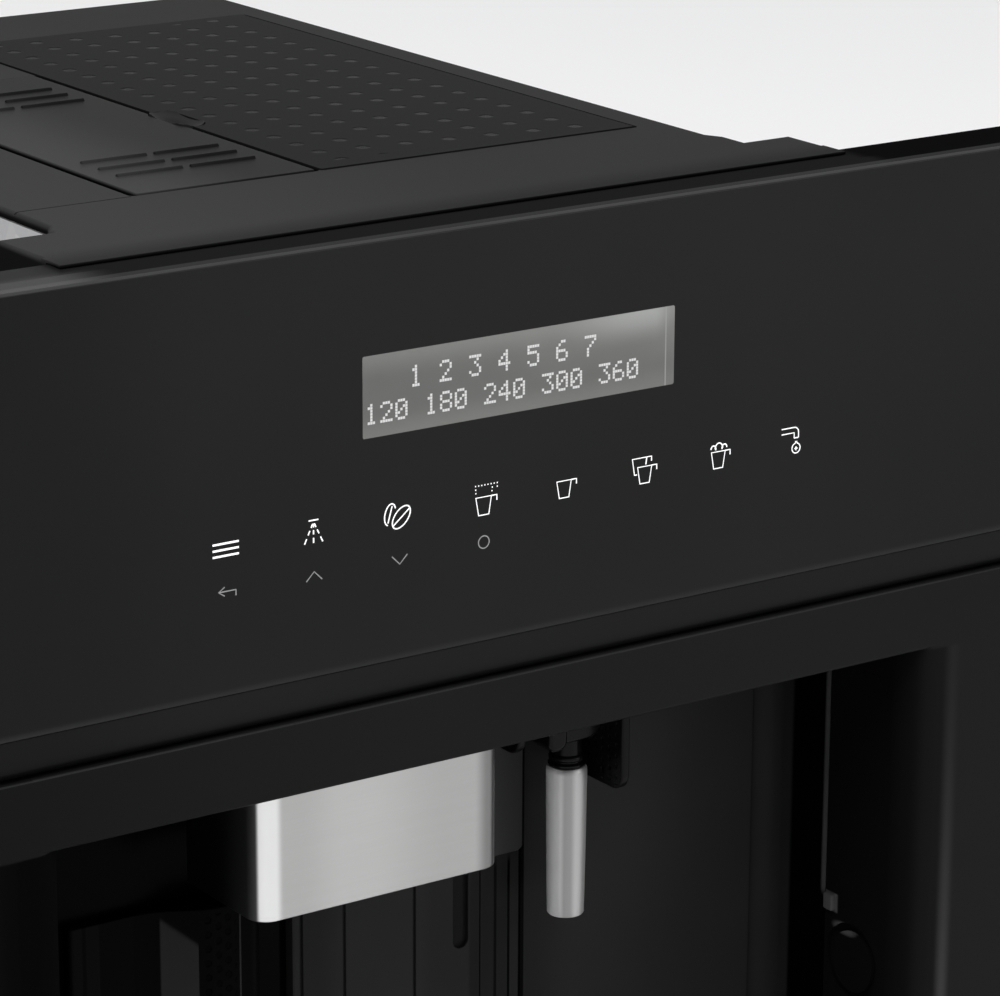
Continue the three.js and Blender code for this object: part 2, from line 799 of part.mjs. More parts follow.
// Slides in the guide and carries the spout; its upper end runs up behind the niche ceiling.
function spoutCarriage() {
  const top = ceiling + SPOUT_TRAVEL + 14;
  const low = spoutBottom + 2;
  const front = CARRIAGE_FRONT;
  const guideFront = NICHE_DEPTH - 2;
  const plan = polygon(
    [SPOUT_MIDDLE - carriageHalf, front],
    [SPOUT_MIDDLE + carriageHalf, front],
    [SPOUT_MIDDLE + carriageHalf, guideFront - RUN],
    [SPOUT_MIDDLE + carriageHalf - 4, guideFront - RUN],
    [SPOUT_MIDDLE + carriageHalf - 4, front + 4],
    [SPOUT_MIDDLE + 2, front + 4],
    [SPOUT_MIDDLE + 2, guideFront + 3],
    [SPOUT_MIDDLE - 2, guideFront + 3],
    [SPOUT_MIDDLE - 2, front + 4],
    [SPOUT_MIDDLE - carriageHalf + 4, front + 4],
    [SPOUT_MIDDLE - carriageHalf + 4, guideFront - RUN],
    [SPOUT_MIDDLE - carriageHalf, guideFront - RUN],
  );
  const body = alongZ(plan, low, top);
  const tongueEnd = box(
    SPOUT_MIDDLE - 3,
    SPOUT_MIDDLE + 3,
    guideFront - RUN,
    guideFront + 4,
    ceiling - RUN,
    top + 1,
  );
  return cut(body, tongueEnd);
}

// ---------------------------------------------------------------- hot water spout

// Fixed nipple and socket plate that the spout is pushed on to.
function hotWaterConnector() {
  const plate = alongY(
    rounded(STEAM_X - 4, holderMiddle - 12, STEAM_X + 14, holderMiddle + 12, 2),
    NICHE_DEPTH - 4,
    NICHE_DEPTH - GAP,
    0.6,
  );
  const nipple = turned([[0, 0], [2.8, 0], [3.4, 2], [3.4, 27], [0, 27]], 10)
    .rotateX(-Math.PI / 2)
    .translate(STEAM_X, STEAM_Y - 3, holderMiddle);
  const bore = cylinder(1.6, -1, 30, 8)
    .rotateX(-Math.PI / 2)
    .translate(STEAM_X, STEAM_Y - 3, holderMiddle);
  return cut(join(plate, nipple), bore);
}

// Holder: a rounded block between the paddles, with the collar of the tube below.
function hotWaterHolder() {
  const beside = PADDLE_THICK / 2 + RUN;
  const left = STEAM_X - THUMB_OFFSET + beside;
  const right = STEAM_X + PADDLE_OFFSET - beside;
  const low = tubeTop + 10;
  const block = alongY(
    rounded(left, low, right, holderTop, 4, [4, 7, 3, 3]),
    STEAM_Y - 7,
    holderBack,
    0.8,
  );
  const nose = alongY(
    rounded(left, low, left + NOSE_WIDTH, holderTop, 3.6, [3.6, 3.6, 3, 3]),
    STEAM_Y - 12,
    STEAM_Y,
    0.8,
  );
  const collar = turned(
    [
      [0, tubeTop + GAP],
      [6.4, tubeTop + GAP],
      [6.4, tubeTop + 1.6],
      [5.6, tubeTop + 2],
      [5.6, tubeTop + 2.4],
      [6.2, tubeTop + 2.8],
      [6.2, tubeTop + 4.2],
      [5.4, tubeTop + 4.8],
      [5.4, low + 2],
      [0, low + 2],
    ],
    12,
  ).translate(STEAM_X, STEAM_Y, 0);
  const socket = cylinder(3.4 + RUN, STEAM_Y - 4, holderBack + 1, 12)
    .rotateX(-Math.PI / 2)
    .translate(STEAM_X, 0, holderMiddle);
  const drop = cylinder(2.2, tubeTop, holderMiddle, 8).translate(STEAM_X, STEAM_Y, 0);
  const ears = box(
    STEAM_X - THUMB_OFFSET - 1,
    STEAM_X + PADDLE_OFFSET + 1,
    STEAM_Y + 3,
    STEAM_Y + 6,
    holderTop - 6,
    holderTop - 2,
  );
  return cut(join(block, nose, collar, ears), socket, drop);
}

// Tapered steel tube, open below, rolled rim at the top.
function hotWaterTube() {
  const a = TUBE_TIP_RADIUS;
  const b = TUBE_TOP_RADIUS;
  const low = tubeTip;
  const top = tubeTop;
  const wall = 0.9;
  return turned(
    [
      [a - wall, low + 0.5],
      [a - 0.4, low],
      [a, low + 0.5],
      [b, top - 1.2],
      [b - 0.5, top],
      [3, top],
      [3, top - wall],
      [b - wall - 0.3, top - wall - 0.4],
      [a - wall, low + 0.5],
    ],
    16,
  ).translate(STEAM_X, STEAM_Y, 0);
}

// Squeeze paddle: flat blade with a rounded toe.
function blade(x, y0, y1, toe) {
  const top = holderTop - 7 - GAP;
  const outline = rounded(y0, toe, y1, top, 5, [6, 3, 1.5, 4]);
  return alongX(outline, x - PADDLE_THICK / 2, x + PADDLE_THICK / 2, 0.6);
}

// The long right paddle has staggered dimples on its inner face.
function rightPaddle() {
  const x = STEAM_X + PADDLE_OFFSET;
  const y0 = STEAM_Y - PADDLE_REACH;
  const dimples = [];
  for (let column = 0; column < 3; column++) {
    for (let row = 0; row < 3; row++) {
      const y = y0 + 3.6 + column * 2.6;
      const z = paddleBottom + 8 + row * 5.2 + (column % 2) * 2.6;
      dimples.push(new THREE.SphereGeometry(1.1, 6, 2).translate(x - PADDLE_THICK / 2 - 0.4, y, z));
    }
  }
  return cut(blade(x, y0, STEAM_Y + 9, paddleBottom), ...dimples);
}

// The left paddle is a short smooth thumb pad, set back beside the holder.
function leftPaddle() {
  return blade(STEAM_X - THUMB_OFFSET, STEAM_Y, holderBack + 1, thumbBottom);
}

// ---------------------------------------------------------------- drip tray

// Plan of the tray: full niche width in front, narrower where it runs into the core.
function trayPlan(inset) {
  const shape = new THREE.Shape();
  const wide = trayFrontHalf - inset;
  const slim = trayBackHalf - inset;
  const step = NICHE_DEPTH - 3 - inset;
  const r = 8;
  shape.moveTo(-wide, WELL_FRONT + inset);
  shape.lineTo(wide, WELL_FRONT + inset);
  shape.lineTo(wide, step - r);
  shape.absarc(wide - r, step - r, r, 0, Math.PI / 2);
  shape.lineTo(slim, step);
  shape.lineTo(slim, TRAY_BACK - r - inset);
  shape.absarc(slim - r, TRAY_BACK - r - inset, r, 0, Math.PI / 2);
  shape.lineTo(-slim + r, TRAY_BACK - inset);
  shape.absarc(-slim + r, TRAY_BACK - r - inset, r, Math.PI / 2, Math.PI);
  shape.lineTo(-slim, step);
  shape.lineTo(-wide + r, step);
  shape.absarc(-wide + r, step - r, r, Math.PI / 2, Math.PI);
  return shape;
}

function dripTray() {
  const wall = 2.2;
  const bowl = cut(
    alongZ(trayPlan(0), TRAY_BASE, TRAY_RIM),
    alongZ(trayPlan(wall), TRAY_BASE + wall, TRAY_RIM + 1),
  );
  const face = alongY(
    rounded(-trayFrontHalf, FRONT_BASE, trayFrontHalf, GRID_LEVEL - 1, 3),
    0,
    WELL_FRONT + 1,
    0.8,
    3,
  );
  const lightened = box(
    8 - trayFrontHalf,
    trayFrontHalf - 8,
    2.6,
    WELL_FRONT - 0.4,
    FRONT_BASE - 1,
    GRID_LEVEL - 9,
  );
  const bar = box(
    -trayBackHalf + 1,
    trayBackHalf - 1,
    NICHE_DEPTH + 4,
    NICHE_DEPTH + 4 + wall,
    TRAY_BASE + 1,
    TRAY_RIM - 14,
  );
  return join(cut(face, lightened), bowl, bar);
}

// Cup grid: slotted plate with a rolled-down edge, and a hole for the float.
function cupGrid() {
  const x = trayFrontHalf - 2.6 - GAP;
  const y0 = WELL_FRONT + 1 + GAP;
  const y1 = NICHE_DEPTH - 4;
  const under = TRAY_RIM + GAP;
  const plate = alongZ(rounded(-x, y0, x, y1, 6, [6, 6, 14, 14]), under, GRID_LEVEL);
  const hollow = alongZ(
    rounded(-x + 2, y0 + 2, x - 2, y1 - 2, 4, [4, 4, 12, 12]),
    under - 1,
    GRID_LEVEL - 2.4,
  );
  const pitch = (2 * x - 24) / GRID_SLOTS;
  const slots = [];
  for (let i = 0; i < GRID_SLOTS; i++) {
    const at = -x + 12 + (i + 0.5) * pitch;
    if (Math.abs(at - FLOAT_X) < pitch) continue;
    slots.push(
      alongZ(rounded(at - 3, y0 + 8, at + 3, y1 - 8, 3), GRID_LEVEL - 4, GRID_LEVEL + 1, 0, 1),
    );
  }
  const floatHole = cylinder(FLOAT_HOLE, GRID_LEVEL - 4, GRID_LEVEL + 1, 16).translate(FLOAT_X, FLOAT_Y, 0);
  return cut(plate, hollow, floatHole, ...slots);
}

// Red level float: hollow cup below, stem that shows in the grid when the tray is full.
function trayFloat() {
  const low = TRAY_BASE + 2.2 + RUN;
  return turned(
    [
      [0, low + 20],
      [10.5, low + 20],
      [10.5, low],
      [12, low],
      [12, low + 22],
      [FLOAT_STEM + 0.4, low + 24],
      [FLOAT_STEM, GRID_LEVEL - 2],
      [FLOAT_STEM - 1, GRID_LEVEL - 1],
      [0, GRID_LEVEL - 1],
    ],
    14,
  ).translate(FLOAT_X, FLOAT_Y, 0);
}

// Grounds container: tapered bin with an outward rim.
function groundsContainer() {
  const x0 = -trayBackHalf + 4;
  const x1 = x0 + GROUNDS_WIDTH;
  const y0 = NICHE_DEPTH + 10;
  const y1 = y0 + GROUNDS_DEPTH;
  const low = TRAY_BASE + 2.2 + GAP;
  const top = GRID_LEVEL - 3;
  const t = 2;
  const taper = 6;
  const plan = (inset) => [x0 + inset, x1 - inset, y0 + inset, y1 - inset];
  const outer = loft(plan(taper), low, plan(t), top);
  const inner = loft(plan(taper + t), low + t, plan(2 * t), top + 0.01);
  const rim = cut(
    alongZ(rounded(x0, y0, x1, y1, 4), top - 2, top),
    alongZ(rounded(x0 + 3, y0 + 3, x1 - 3, y1 - 3, 3), top - 3, top + 1),
  );
  const throat = 2 * t + 0.2;
  const mouth = box(x0 + throat, x1 - throat, y0 + throat, y1 - throat, top - 3, top + 2);
  return join(cut(outer, inner, mouth), rim);
}

// ---------------------------------------------------------------- chassis and runners

// Base sheet with upturned flanges at the sides and pressed stiffening beads.
function chassis() {
  const front = CHEEK_DEPTH + GAP;
  const back = CORE_BACK - 2;
  const low = CHASSIS_LEVEL;
  const t = CHASSIS_SHEET;
  const x = CHASSIS_HALF;
  const section = polygon(
    [-x, CHASSIS_FLANGE],
    [-x, low],
    [x, low],
    [x, CHASSIS_FLANGE],
    [x - t, CHASSIS_FLANGE],
    [x - t, low + t],
    [-x + t, low + t],
    [-x + t, CHASSIS_FLANGE],
  );
  const sheet = alongY(section, front, back);
  const beads = [-0.72, -0.3, 0.3].map((share) =>
    alongZ(
      rounded(share * x - 7, front + 30, share * x + 7, back - 30, 7),
      low + 1,
      beadTop,
    ),
  );
  const vents = [];
  for (let i = 0; i < 4; i++) {
    const y = back - 50 - i * 16;
    vents.push(alongZ(rounded(34, y - 3, 60, y + 3, 3), low - 1, low + t + 1, 0, 1));
  }
  return cut(join(sheet, ...beads), ...vents);
}

// Gusset between the front surround and the chassis flange, flanged along its front.
function frontBracket() {
  const x1 = CHASSIS_HALF - CHASSIS_SHEET - GAP;
  const x0 = x1 - 2;
  const front = CARRIER_DEPTH + GAP;
  const foot = deckTop;
  const web = new THREE.Shape();
  web.moveTo(front, foot + 30);
  web.lineTo(CHEEK_DEPTH + GAP, foot);
  web.lineTo(front + 190, foot);
  web.lineTo(front + 190, foot + 24);
  web.bezierCurveTo(front + 90, foot + 34, front + 26, foot + 120, front + 18, glassBottom - 40);
  web.lineTo(front, glassBottom - 40);
  const plate = alongX(web, x0, x1, 0, 4);
  const flange = box(x0 - 16, x1, front, front + 2, foot + 30, glassBottom - 40);
  const holes = [80, 220].map((z) =>
    cylinder(2.6, front - 1, front + 3, 8)
      .rotateX(-Math.PI / 2)
      .translate(x0 - 8, 0, z),
  );
  return cut(join(plate, flange), ...holes);
}

// A runner member: C section with rolled lips, extruded along its length.
function runnerMember(web, height, depth, back) {
  const thick = RUNNER_SHEET;
  const middle = 2 + RUNNER_HEIGHT / 2;
  const lip = RUNNER_LIP;
  const low = middle - height / 2;
  const top = middle + height / 2;
  const section = polygon(
    [web, low],
    [web, top],
    [web - depth, top],
    [web - depth, top - thick - lip],
    [web - depth + thick, top - thick - lip],
    [web - depth + thick, top - thick],
    [web - thick, top - thick],
    [web - thick, low + thick],
    [web - depth + thick, low + thick],
    [web - depth + thick, low + thick + lip],
    [web - depth, low + thick + lip],
    [web - depth, low],
  );
  return alongY(section, RUNNER_START, back);
}

// Fixed outer member with its screw-down foot.
function runnerOuter() {
  const depth = RUNNER_WIDTH - 2;
  const channel = runnerMember(outerWeb, RUNNER_HEIGHT, depth, OVERALL_DEPTH);
  const foot = box(outerWeb - RUNNER_WIDTH + 2, outerWeb + 18, RUNNER_START, OVERALL_DEPTH, 0, 2.5);
  const slots = [];
  for (const share of [0.12, 0.88]) {
    const y = RUNNER_START + share * (OVERALL_DEPTH - RUNNER_START);
    slots.push(alongZ(rounded(outerWeb + 7, y - 6, outerWeb + 12, y + 6, 2.5), -1, 4, 0, 1));
  }
  return cut(join(channel, foot), ...slots);
}

function runnerMiddle() {
  const height = RUNNER_HEIGHT - 2 * (RUNNER_SHEET + RUN);
  return runnerMember(middleWeb, height, middleWeb - middleReach, OVERALL_DEPTH - 14);
}

// Inner member: hooked to the chassis flange, its neck passes between the lips of the middle one.
function runnerInner() {
  const t = RUNNER_SHEET;
  const rise = RUNNER_HEIGHT / 2 - 2 * (t + RUN);
  const neck = rise - RUNNER_LIP - t - RUN;
  const x0 = runnerInside;
  const x1 = middleReach + t + RUN;
  const x2 = middleWeb - t - RUN;
  const middle = 2 + RUNNER_HEIGHT / 2;
  const upper = [
    [x0, neck],
    [x1, neck],
    [x1, rise],
    [x2, rise],
    [x2, rise - t],
    [x1 + t, rise - t],
    [x1 + t, neck - t],
    [x0 + t, neck - t],
  ];
  const lower = upper.map(([x, z]) => [x, -z]).reverse();
  const section = polygon(...[...upper, ...lower].map(([x, z]) => [x, middle + z]));
  return alongY(section, RUNNER_START, CORE_BACK - 12);
}

// Cross brace that keeps the two fixed runners parallel.
function runnerBrace() {
  const x = outerWeb - RUNNER_WIDTH + 2 - GAP;
  const y1 = OVERALL_DEPTH - 2;
  const y0 = y1 - 10;
  const section = polygon([y0, 0], [y1, 0], [y1, 9], [y1 - 1.5, 9], [y1 - 1.5, 1.5], [y0, 1.5]);
  return alongX(section, -x, x);
}

// ---------------------------------------------------------------- core housing

// Side panel: L-shaped, reaching forward above the niche, with a bent front flange and vents.
function sidePanel(side) {
  const x = coreHalf;
  const upperFront = CARRIER_DEPTH + GAP;
  const outline = new THREE.Shape();
  outline.moveTo(coreFront, deckTop);
  outline.lineTo(CORE_BACK - GAP, deckTop);
  outline.lineTo(CORE_BACK - GAP, coreTop);
  outline.lineTo(upperFront, coreTop);
  outline.lineTo(upperFront, ceiling + WALL + GAP);
  outline.lineTo(coreFront, ceiling + WALL + GAP);
  const panel = alongX(outline, x - SHEET, x);
  const tools = [];
  for (let i = 0; i < 4; i++) {
    const z = 254 + i * 13;
    tools.push(alongX(rounded(300, z, 372, z + 3.4, 1.7), x - 5, x + 5));
  }
  if (side < 0) {
    const opening = rounded(SWITCH_Y - 10.5, SWITCH_Z - 7.5, SWITCH_Y + 10.5, SWITCH_Z + 7.5, 1);
    tools.push(alongX(opening, x - 5, x + 5));
  } else {
    tools.push(
      cylinder(7, x - 5, x + 5, 16).rotateY(Math.PI / 2).translate(0, hoseY, hoseZ),
    );
  }
  const whole = cut(panel, ...tools);
  return side < 0 ? mirrored(whole) : whole;
}

function rearPanel() {
  const x = coreHalf;
  const outline = rounded(-x, deckTop, x, coreTop, 2);
  const sheet = alongY(outline, CORE_BACK, CORE_BACK + 1.5);
  const tools = [];
  for (let row = 0; row < 5; row++) {
    for (const x0 of [-88, 18]) {
      const z = 322 + row * 15;
      tools.push(alongY(rounded(x0, z, x0 + 70, z + 4, 2), CORE_BACK - 1, CORE_BACK + 3, 0, 1));
    }
  }
  const inletWay = rounded(INLET_X - 14, INLET_Z - 11, INLET_X + 14, INLET_Z + 11, 2);
  tools.push(alongY(inletWay, CORE_BACK - 1, CORE_BACK + 3));
  return cut(sheet, ...tools);
}

// Top cover: wide flange behind the panel, stepped corners, recesses for the two lids.
function topCover() {
  const front = CARRIER_DEPTH + GAP;
  const step = 6;
  const halfPlan = (depth) => [
    [FLANGE_HALF, front],
    [FLANGE_HALF, depth],
    [coreHalf + 2, depth],
    [coreHalf + 2, COVER_SHOULDER],
    [coreHalf + 2 - step / 2, COVER_SHOULDER + step],
    [coreHalf + 2 - step / 2, CORE_BACK + 1.5],
  ];
  const right = halfPlan(FLANGE_DEPTH);
  const left = halfPlan(FLANGE_LEFT_DEPTH)
    .map(([x, y]) => [-x, y])
    .reverse();
  const body = alongZ(polygon(...right, ...left), coverTop - 16, coverTop, 1.2);
  const under = alongZ(
    polygon(
      [coreHalf - 1, front + WALL],
      [coreHalf - 1, CORE_BACK - 1],
      [1 - coreHalf, CORE_BACK - 1],
      [1 - coreHalf, front + WALL],
    ),
    coverTop - 20,
    coverUnder,
  );
  const way = (x0, x1, y0) => box(x0, x1, y0, CORE_BACK + 3, coverTop - 20, coverUnder);
  const beanRecess = lidOutline(LID_SEAM + SEAM / 2, BEAN_RIGHT, BEAN_BACK, SEAM / 2);
  const revealed = GROUND_LEFT - LID_REVEAL;
  const groundRecess = lidOutline(revealed, LID_SEAM - SEAM / 2, GROUND_BACK, SEAM / 2);
  const shelf = coverTop - LID_THICK + 1;
  const deck = alongZ(
    rounded(revealed - 4, LID_FRONT - 4, BEAN_RIGHT + 4, BEAN_BACK + 4, 3),
    shelf - WALL - GAP,
    coverTop - 1.2,
  );
  const mouth = ([x0, x1, y0, y1]) =>
    box(x0 - GAP, x1 + GAP, y0 - GAP, y1 + GAP, shelf - 10, coverTop + 1);
  const cup = cylinder(KNOB_RADIUS + 3, shelf - 22, shelf - 1, 12).translate(knobX, knobY, 0);
  const cupRoom = cylinder(KNOB_RADIUS + 1, shelf - 20, coverTop + 1, 12).translate(knobX, knobY, 0);
  const stemHole = cylinder(3 + RUN, shelf - 24, shelf - 18, 8).translate(knobX, knobY, 0);
  const notch = alongZ(notchOutline(1), shelf - GAP - 1, coverTop + 1);
  return cut(
    join(cut(body, under), deck, cup),
    way(coreHalf - SHEET - GAP, coreHalf + GAP, front - 1),
    way(-coreHalf - GAP, SHEET + GAP - coreHalf, front - 1),
    way(-coreHalf - GAP, coreHalf + GAP, CORE_BACK - GAP),
    alongZ(beanRecess, shelf - GAP, coverTop + 1),
    alongZ(groundRecess, shelf - GAP, coverTop + 1),
    mouth(hopperBox),
    mouth(funnelBox),
    cupRoom,
    stemHole,
    notch,
  );
}

function lidOutline(x0, x1, y1, grow) {
  return rounded(x0 - grow, LID_FRONT - grow, x1 + grow, y1 + grow, 1.5 + grow);
}

// Long oval beside the seam between the lids, most of it in the bean lid.
function notchOutline(grow) {
  return rounded(
    LID_SEAM - 2.5 - grow,
    notchMiddle - NOTCH_HALF - grow,
    LID_SEAM + 8 + grow,
    notchMiddle + NOTCH_HALF + grow,
    5.2 + grow,
  );
}

function fingerNotch() {
  return alongZ(notchOutline(0), coverTop - LID_THICK, coverTop + 2);
}

// Bean lid: plate with a skirt that drops into the hopper.
function beanLid() {
  const outline = lidOutline(LID_SEAM + SEAM / 2, BEAN_RIGHT, BEAN_BACK, -SEAM / 2);
  const low = coverTop - LID_THICK + 1;
  const plate = alongZ(outline, low, coverTop + 1, 0.8);
  const [x0, x1, y0, y1] = hopperBox;
  const plan = (inset) => rounded(x0 + inset, y0 + inset, x1 - inset, y1 - inset, 8 - inset);
  const skirt = cut(alongZ(plan(3), low - 5, low + 1), alongZ(plan(5), low - 6, low + 1));
  return cut(join(plate, skirt), fingerNotch());
}

function ridge(x0, x1, y) {
  const top = coverTop + 1.8;
  const section = polygon([y - 1.2, coverTop], [y + 1.2, coverTop], [y + 0.5, top], [y - 0.5, top]);
  return alongX(section, x0, x1);
}

// Ground coffee lid: plate with two groups of three raised grip lines.
function groundLid() {
  const outline = lidOutline(GROUND_LEFT, LID_SEAM - SEAM / 2, GROUND_BACK, -SEAM / 2);
  const low = coverTop - LID_THICK + 1;
  const plate = alongZ(outline, low, coverTop + 1, 0.8);
  const middle = (GROUND_LEFT + LID_SEAM) / 2;
  const lines = [];
  for (let i = 0; i < 3; i++) {
    const inwards = GRIP_START + i * GRIP_PITCH;
    for (const x of [middle - 25.5, middle + 1.5]) {
      lines.push(ridge(x, x + 24, LID_FRONT + inwards), ridge(x, x + 24, GROUND_BACK - inwards));
    }
  }
  return cut(join(plate, ...lines), fingerNotch());
}

// ---------------------------------------------------------------- grinder

// Bean hopper: sloping walls down to the grinder throat.
function beanHopper() {
  const [x0, x1, y0, y1] = hopperBox;
  const t = 2;
  const throat = 22;
  const shelf = coverTop - LID_THICK + 1 - GAP;
  const low = grinderTop + GAP;
  const neck = [GRINDER_X - throat, GRINDER_X + throat, GRINDER_Y - throat, GRINDER_Y + throat];
  const grown = [neck[0] - t, neck[1] + t, neck[2] - t, neck[3] + t];
  const outer = join(
    loft(grown, low, [x0, x1, y0, y1], shelf - 22),
    box(x0, x1, y0, y1, shelf - 22.01, shelf - 1),
  );
  const inner = join(
    loft(neck, low - 0.01, [x0 + t, x1 - t, y0 + t, y1 - t], shelf - 22 + t),
    box(x0 + t, x1 - t, y0 + t, y1 - t, shelf - 22 + t - 0.01, shelf),
  );
  return cut(outer, inner);
}

// Grinder housing: stepped cup with cooling ribs and an outlet stub towards the funnel.
function grinderHousing() {
  const r = GRINDER_RADIUS;
  const cup = turned(
    [[0, grinderBase], [r - 4, grinderBase], [r, grinderBase + 4], [r, grinderTop], [0, grinderTop]],
    20,
  );
  const ribs = [];
  const count = 6;
  for (let i = 0; i < count; i++) {
    const rib = box(r - 2, r + 3, -1.2, 1.2, grinderBase + 8, grinderTop - 8);
    ribs.push(rib.rotateZ((i * Math.PI * 2) / count + 0.26));
  }
  const stub = box(-r - 12, -r + 6, -11, 11, grinderBase + 6, grinderBase + 28);
  const stubHole = box(-r - 13, -BURR_RADIUS - 2, -8.5, 8.5, grinderBase + 8.5, grinderBase + 25.5);
  const chamber = turned(
    [
      [0, grinderBase + 8.5],
      [BURR_RADIUS + 3, grinderBase + 8.5],
      [BURR_RADIUS + 3, grinderTop + 1],
      [0, grinderTop + 1],
    ],
    20,
  );
  const shaftHole = cylinder(5, grinderBase - 1, grinderBase + 10, 12);
  return cut(join(cup, stub, ...ribs), chamber, stubHole, shaftHole).translate(
    GRINDER_X,
    GRINDER_Y,
    0,
  );
}

// Conical burr: steep helical teeth on a cone, with the drive bore below.
function lowerBurr() {
  const small = BURR_RADIUS * 0.42;
  const large = BURR_RADIUS * 0.72;
  const layers = 3;
  const shape = new THREE.Shape();
  for (let i = 0; i < BURR_TEETH; i++) {
    const a = (i / BURR_TEETH) * Math.PI * 2;
    const b = ((i + 0.62) / BURR_TEETH) * Math.PI * 2;
    const method = i ? "lineTo" : "moveTo";
    shape[method](Math.cos(a), Math.sin(a));
    shape.lineTo(0.86 * Math.cos(b), 0.86 * Math.sin(b));
  }
  const blank = new THREE.ExtrudeGeometry(shape, {
    depth: 1,
    steps: layers,
    bevelEnabled: false,
  });
  const place = blank.getAttribute("position");
  for (let i = 0; i < place.count; i++) {
    const share = place.getZ(i);
    const radius = large + (small - large) * share;
    const turn = 0.7 * share;
    const x = place.getX(i) * radius;
    const y = place.getY(i) * radius;
    place.setXYZ(
      i,
      x * Math.cos(turn) - y * Math.sin(turn),
      x * Math.sin(turn) + y * Math.cos(turn),
      burrBase + share * BURR_HEIGHT,
    );
  }
  const hub = cylinder(8, grinderBase + 12, burrBase + 1, 18);
  const bore = cylinder(3.6, grinderBase, burrBase + 14, 12);
  return cut(join(blank, hub), bore).translate(GRINDER_X, GRINDER_Y, 0);
}

// Ring burr around the cone, toothed inside.
function upperBurr() {
  const outer = BURR_RADIUS + 3 - GAP;
  const low = burrBase;
  const top = burrBase + BURR_HEIGHT - 2;
  const ring = cylinder(outer, low, top, 20);
  const mouth = cylinder(BURR_RADIUS * 0.8, low - 1, top + 1, 20, BURR_RADIUS * 0.66);
  const cuts = [];
  const count = 10;
  for (let i = 0; i < count; i++) {
    const groove = box(-0.9, 0.9, 0, BURR_RADIUS * 0.88, low - 1, top + 1);
    cuts.push(groove.rotateZ((i * Math.PI * 2) / count));
  }
  return cut(ring, mouth, ...cuts).translate(GRINDER_X, GRINDER_Y, 0);
}

// Motor under the grinder with its drive shaft.
function grinderMotor() {
  const top = grinderBase - GAP;
  return turned(
    [
      [0, top - 84],
      [10, top - 84],
      [12, top - 78],
      [26, top - 76],
      [MOTOR_RADIUS, top - 72],
      [MOTOR_RADIUS, top - 26],
      [25, top - 22],
      [25, top - MOTOR_FLANGE],
      [33, top - MOTOR_FLANGE],
      [33, top],
      [9, top],
      [3, top],
      [3, burrBase + 12],
      [0, burrBase + 12],
    ],
    12,
  ).translate(GRINDER_X, GRINDER_Y, 0);
}

// Fluted grind setting knob in its cup in front of the hopper, under the bean lid.
function grindKnob() {
  const r = KNOB_RADIUS;
  const low = coverTop - LID_THICK + 1 - 20 + GAP;
  const high = low + 14;
  const stem = [[0, low - 8], [3, low - 8], [3, low]];
  const head = [[r - 1, low], [r, low + 1], [r - 1, high], [0, high]];
  const flutes = [];
  const count = 8;
  for (let i = 0; i < count; i++) {
    const flute = cylinder(1.8, low + 2, high + 1, 5).translate(r, 0, 0);
    flutes.push(flute.rotateZ((i * Math.PI * 2) / count));
  }
  const pointer = box(-1, 1, 3 - r, r - 3, high - 1, high + 2);
  return cut(join(turned([...stem, ...head], 16), pointer), ...flutes).translate(knobX, knobY, 0);
}

// Funnel for ground coffee, with the side inlet from the grinder, down to the infuser mouth.
function coffeeFunnel() {
  const [x0, x1, y0, y1] = funnelBox;
  const t = 2;
  const top = coverTop - LID_THICK + 1 - GAP - 1;
  const shoulder = top - 18;
  const low = infuserTop + 4;
  const cx = infuserMiddle;
  const cy = infuserY;
  const mouth = [cx - 15, cx + 15, cy - 15, cy + 15];
  const grown = [cx - 17, cx + 17, cy - 17, cy + 17];
  const outer = join(
    loft(grown, low, [x0, x1, y0, y1], shoulder),
    box(x0, x1, y0, y1, shoulder - 0.01, top),
  );
  const inner = join(
    loft(mouth, low - 0.01, [x0 + t, x1 - t, y0 + t, y1 - t], shoulder + t),
    box(x0 + t, x1 - t, y0 + t, y1 - t, shoulder + t - 0.01, top + 1),
  );
  const inletEnd = GRINDER_X - GRINDER_RADIUS - 12 - GAP;
  const z0 = grinderBase + 4;
  const z1 = grinderBase + 30;
  const duct = box(-58, inletEnd, GRINDER_Y - 13, GRINDER_Y + 13, z0, z1);
  const ductHole = box(-75, inletEnd + 1, GRINDER_Y - 10.5, GRINDER_Y + 10.5, z0 + 2.5, z1 - 2.5);
  return cut(join(outer, duct), inner, ductHole);
}

// ---------------------------------------------------------------- infuser

// Inner frame: floor under the infuser, bulkhead beside it and a shelf that carries the grinder.
function innerFrame() {
  const x = coreHalf - SHEET - GAP;
  const t = WALL;
  const floorTop = INFUSER_BASE - GAP;
  const shelfTop = grinderBase - GAP - MOTOR_FLANGE - GAP;
  const wall = driveLeft + DRIVE_WIDTH + RUN;
  const section = polygon(
    [-x, floorTop - t],
    [wall + t, floorTop - t],
    [wall + t, shelfTop - t],
    [x, shelfTop - t],
    [x, shelfTop],
    [wall, shelfTop],
    [wall, floorTop],
    [-x, floorTop],
  );
  const front = coreFront + GAP;
  const body = alongY(section, front, front + 156);
  const motorWay = cylinder(MOTOR_RADIUS + RUN, shelfTop - 5, shelfTop + 1, 14);
  const motorHole = motorWay.translate(GRINDER_X, GRINDER_Y, 0);
  const cakeHole = alongZ(
    rounded(infuserMiddle - 20, infuserY - 42, infuserMiddle + 20, infuserY + 42, 6),
    floorTop - t - 1,
    floorTop + 1,
  );
  const hoseWay = rounded(infuserY - 30, floorTop + 78, infuserY + 40, floorTop + 148, 10);
  const hoseHole = alongX(hoseWay, wall - 1, wall + t + 1);
  return cut(body, motorHole, cakeHole, hoseHole);
}

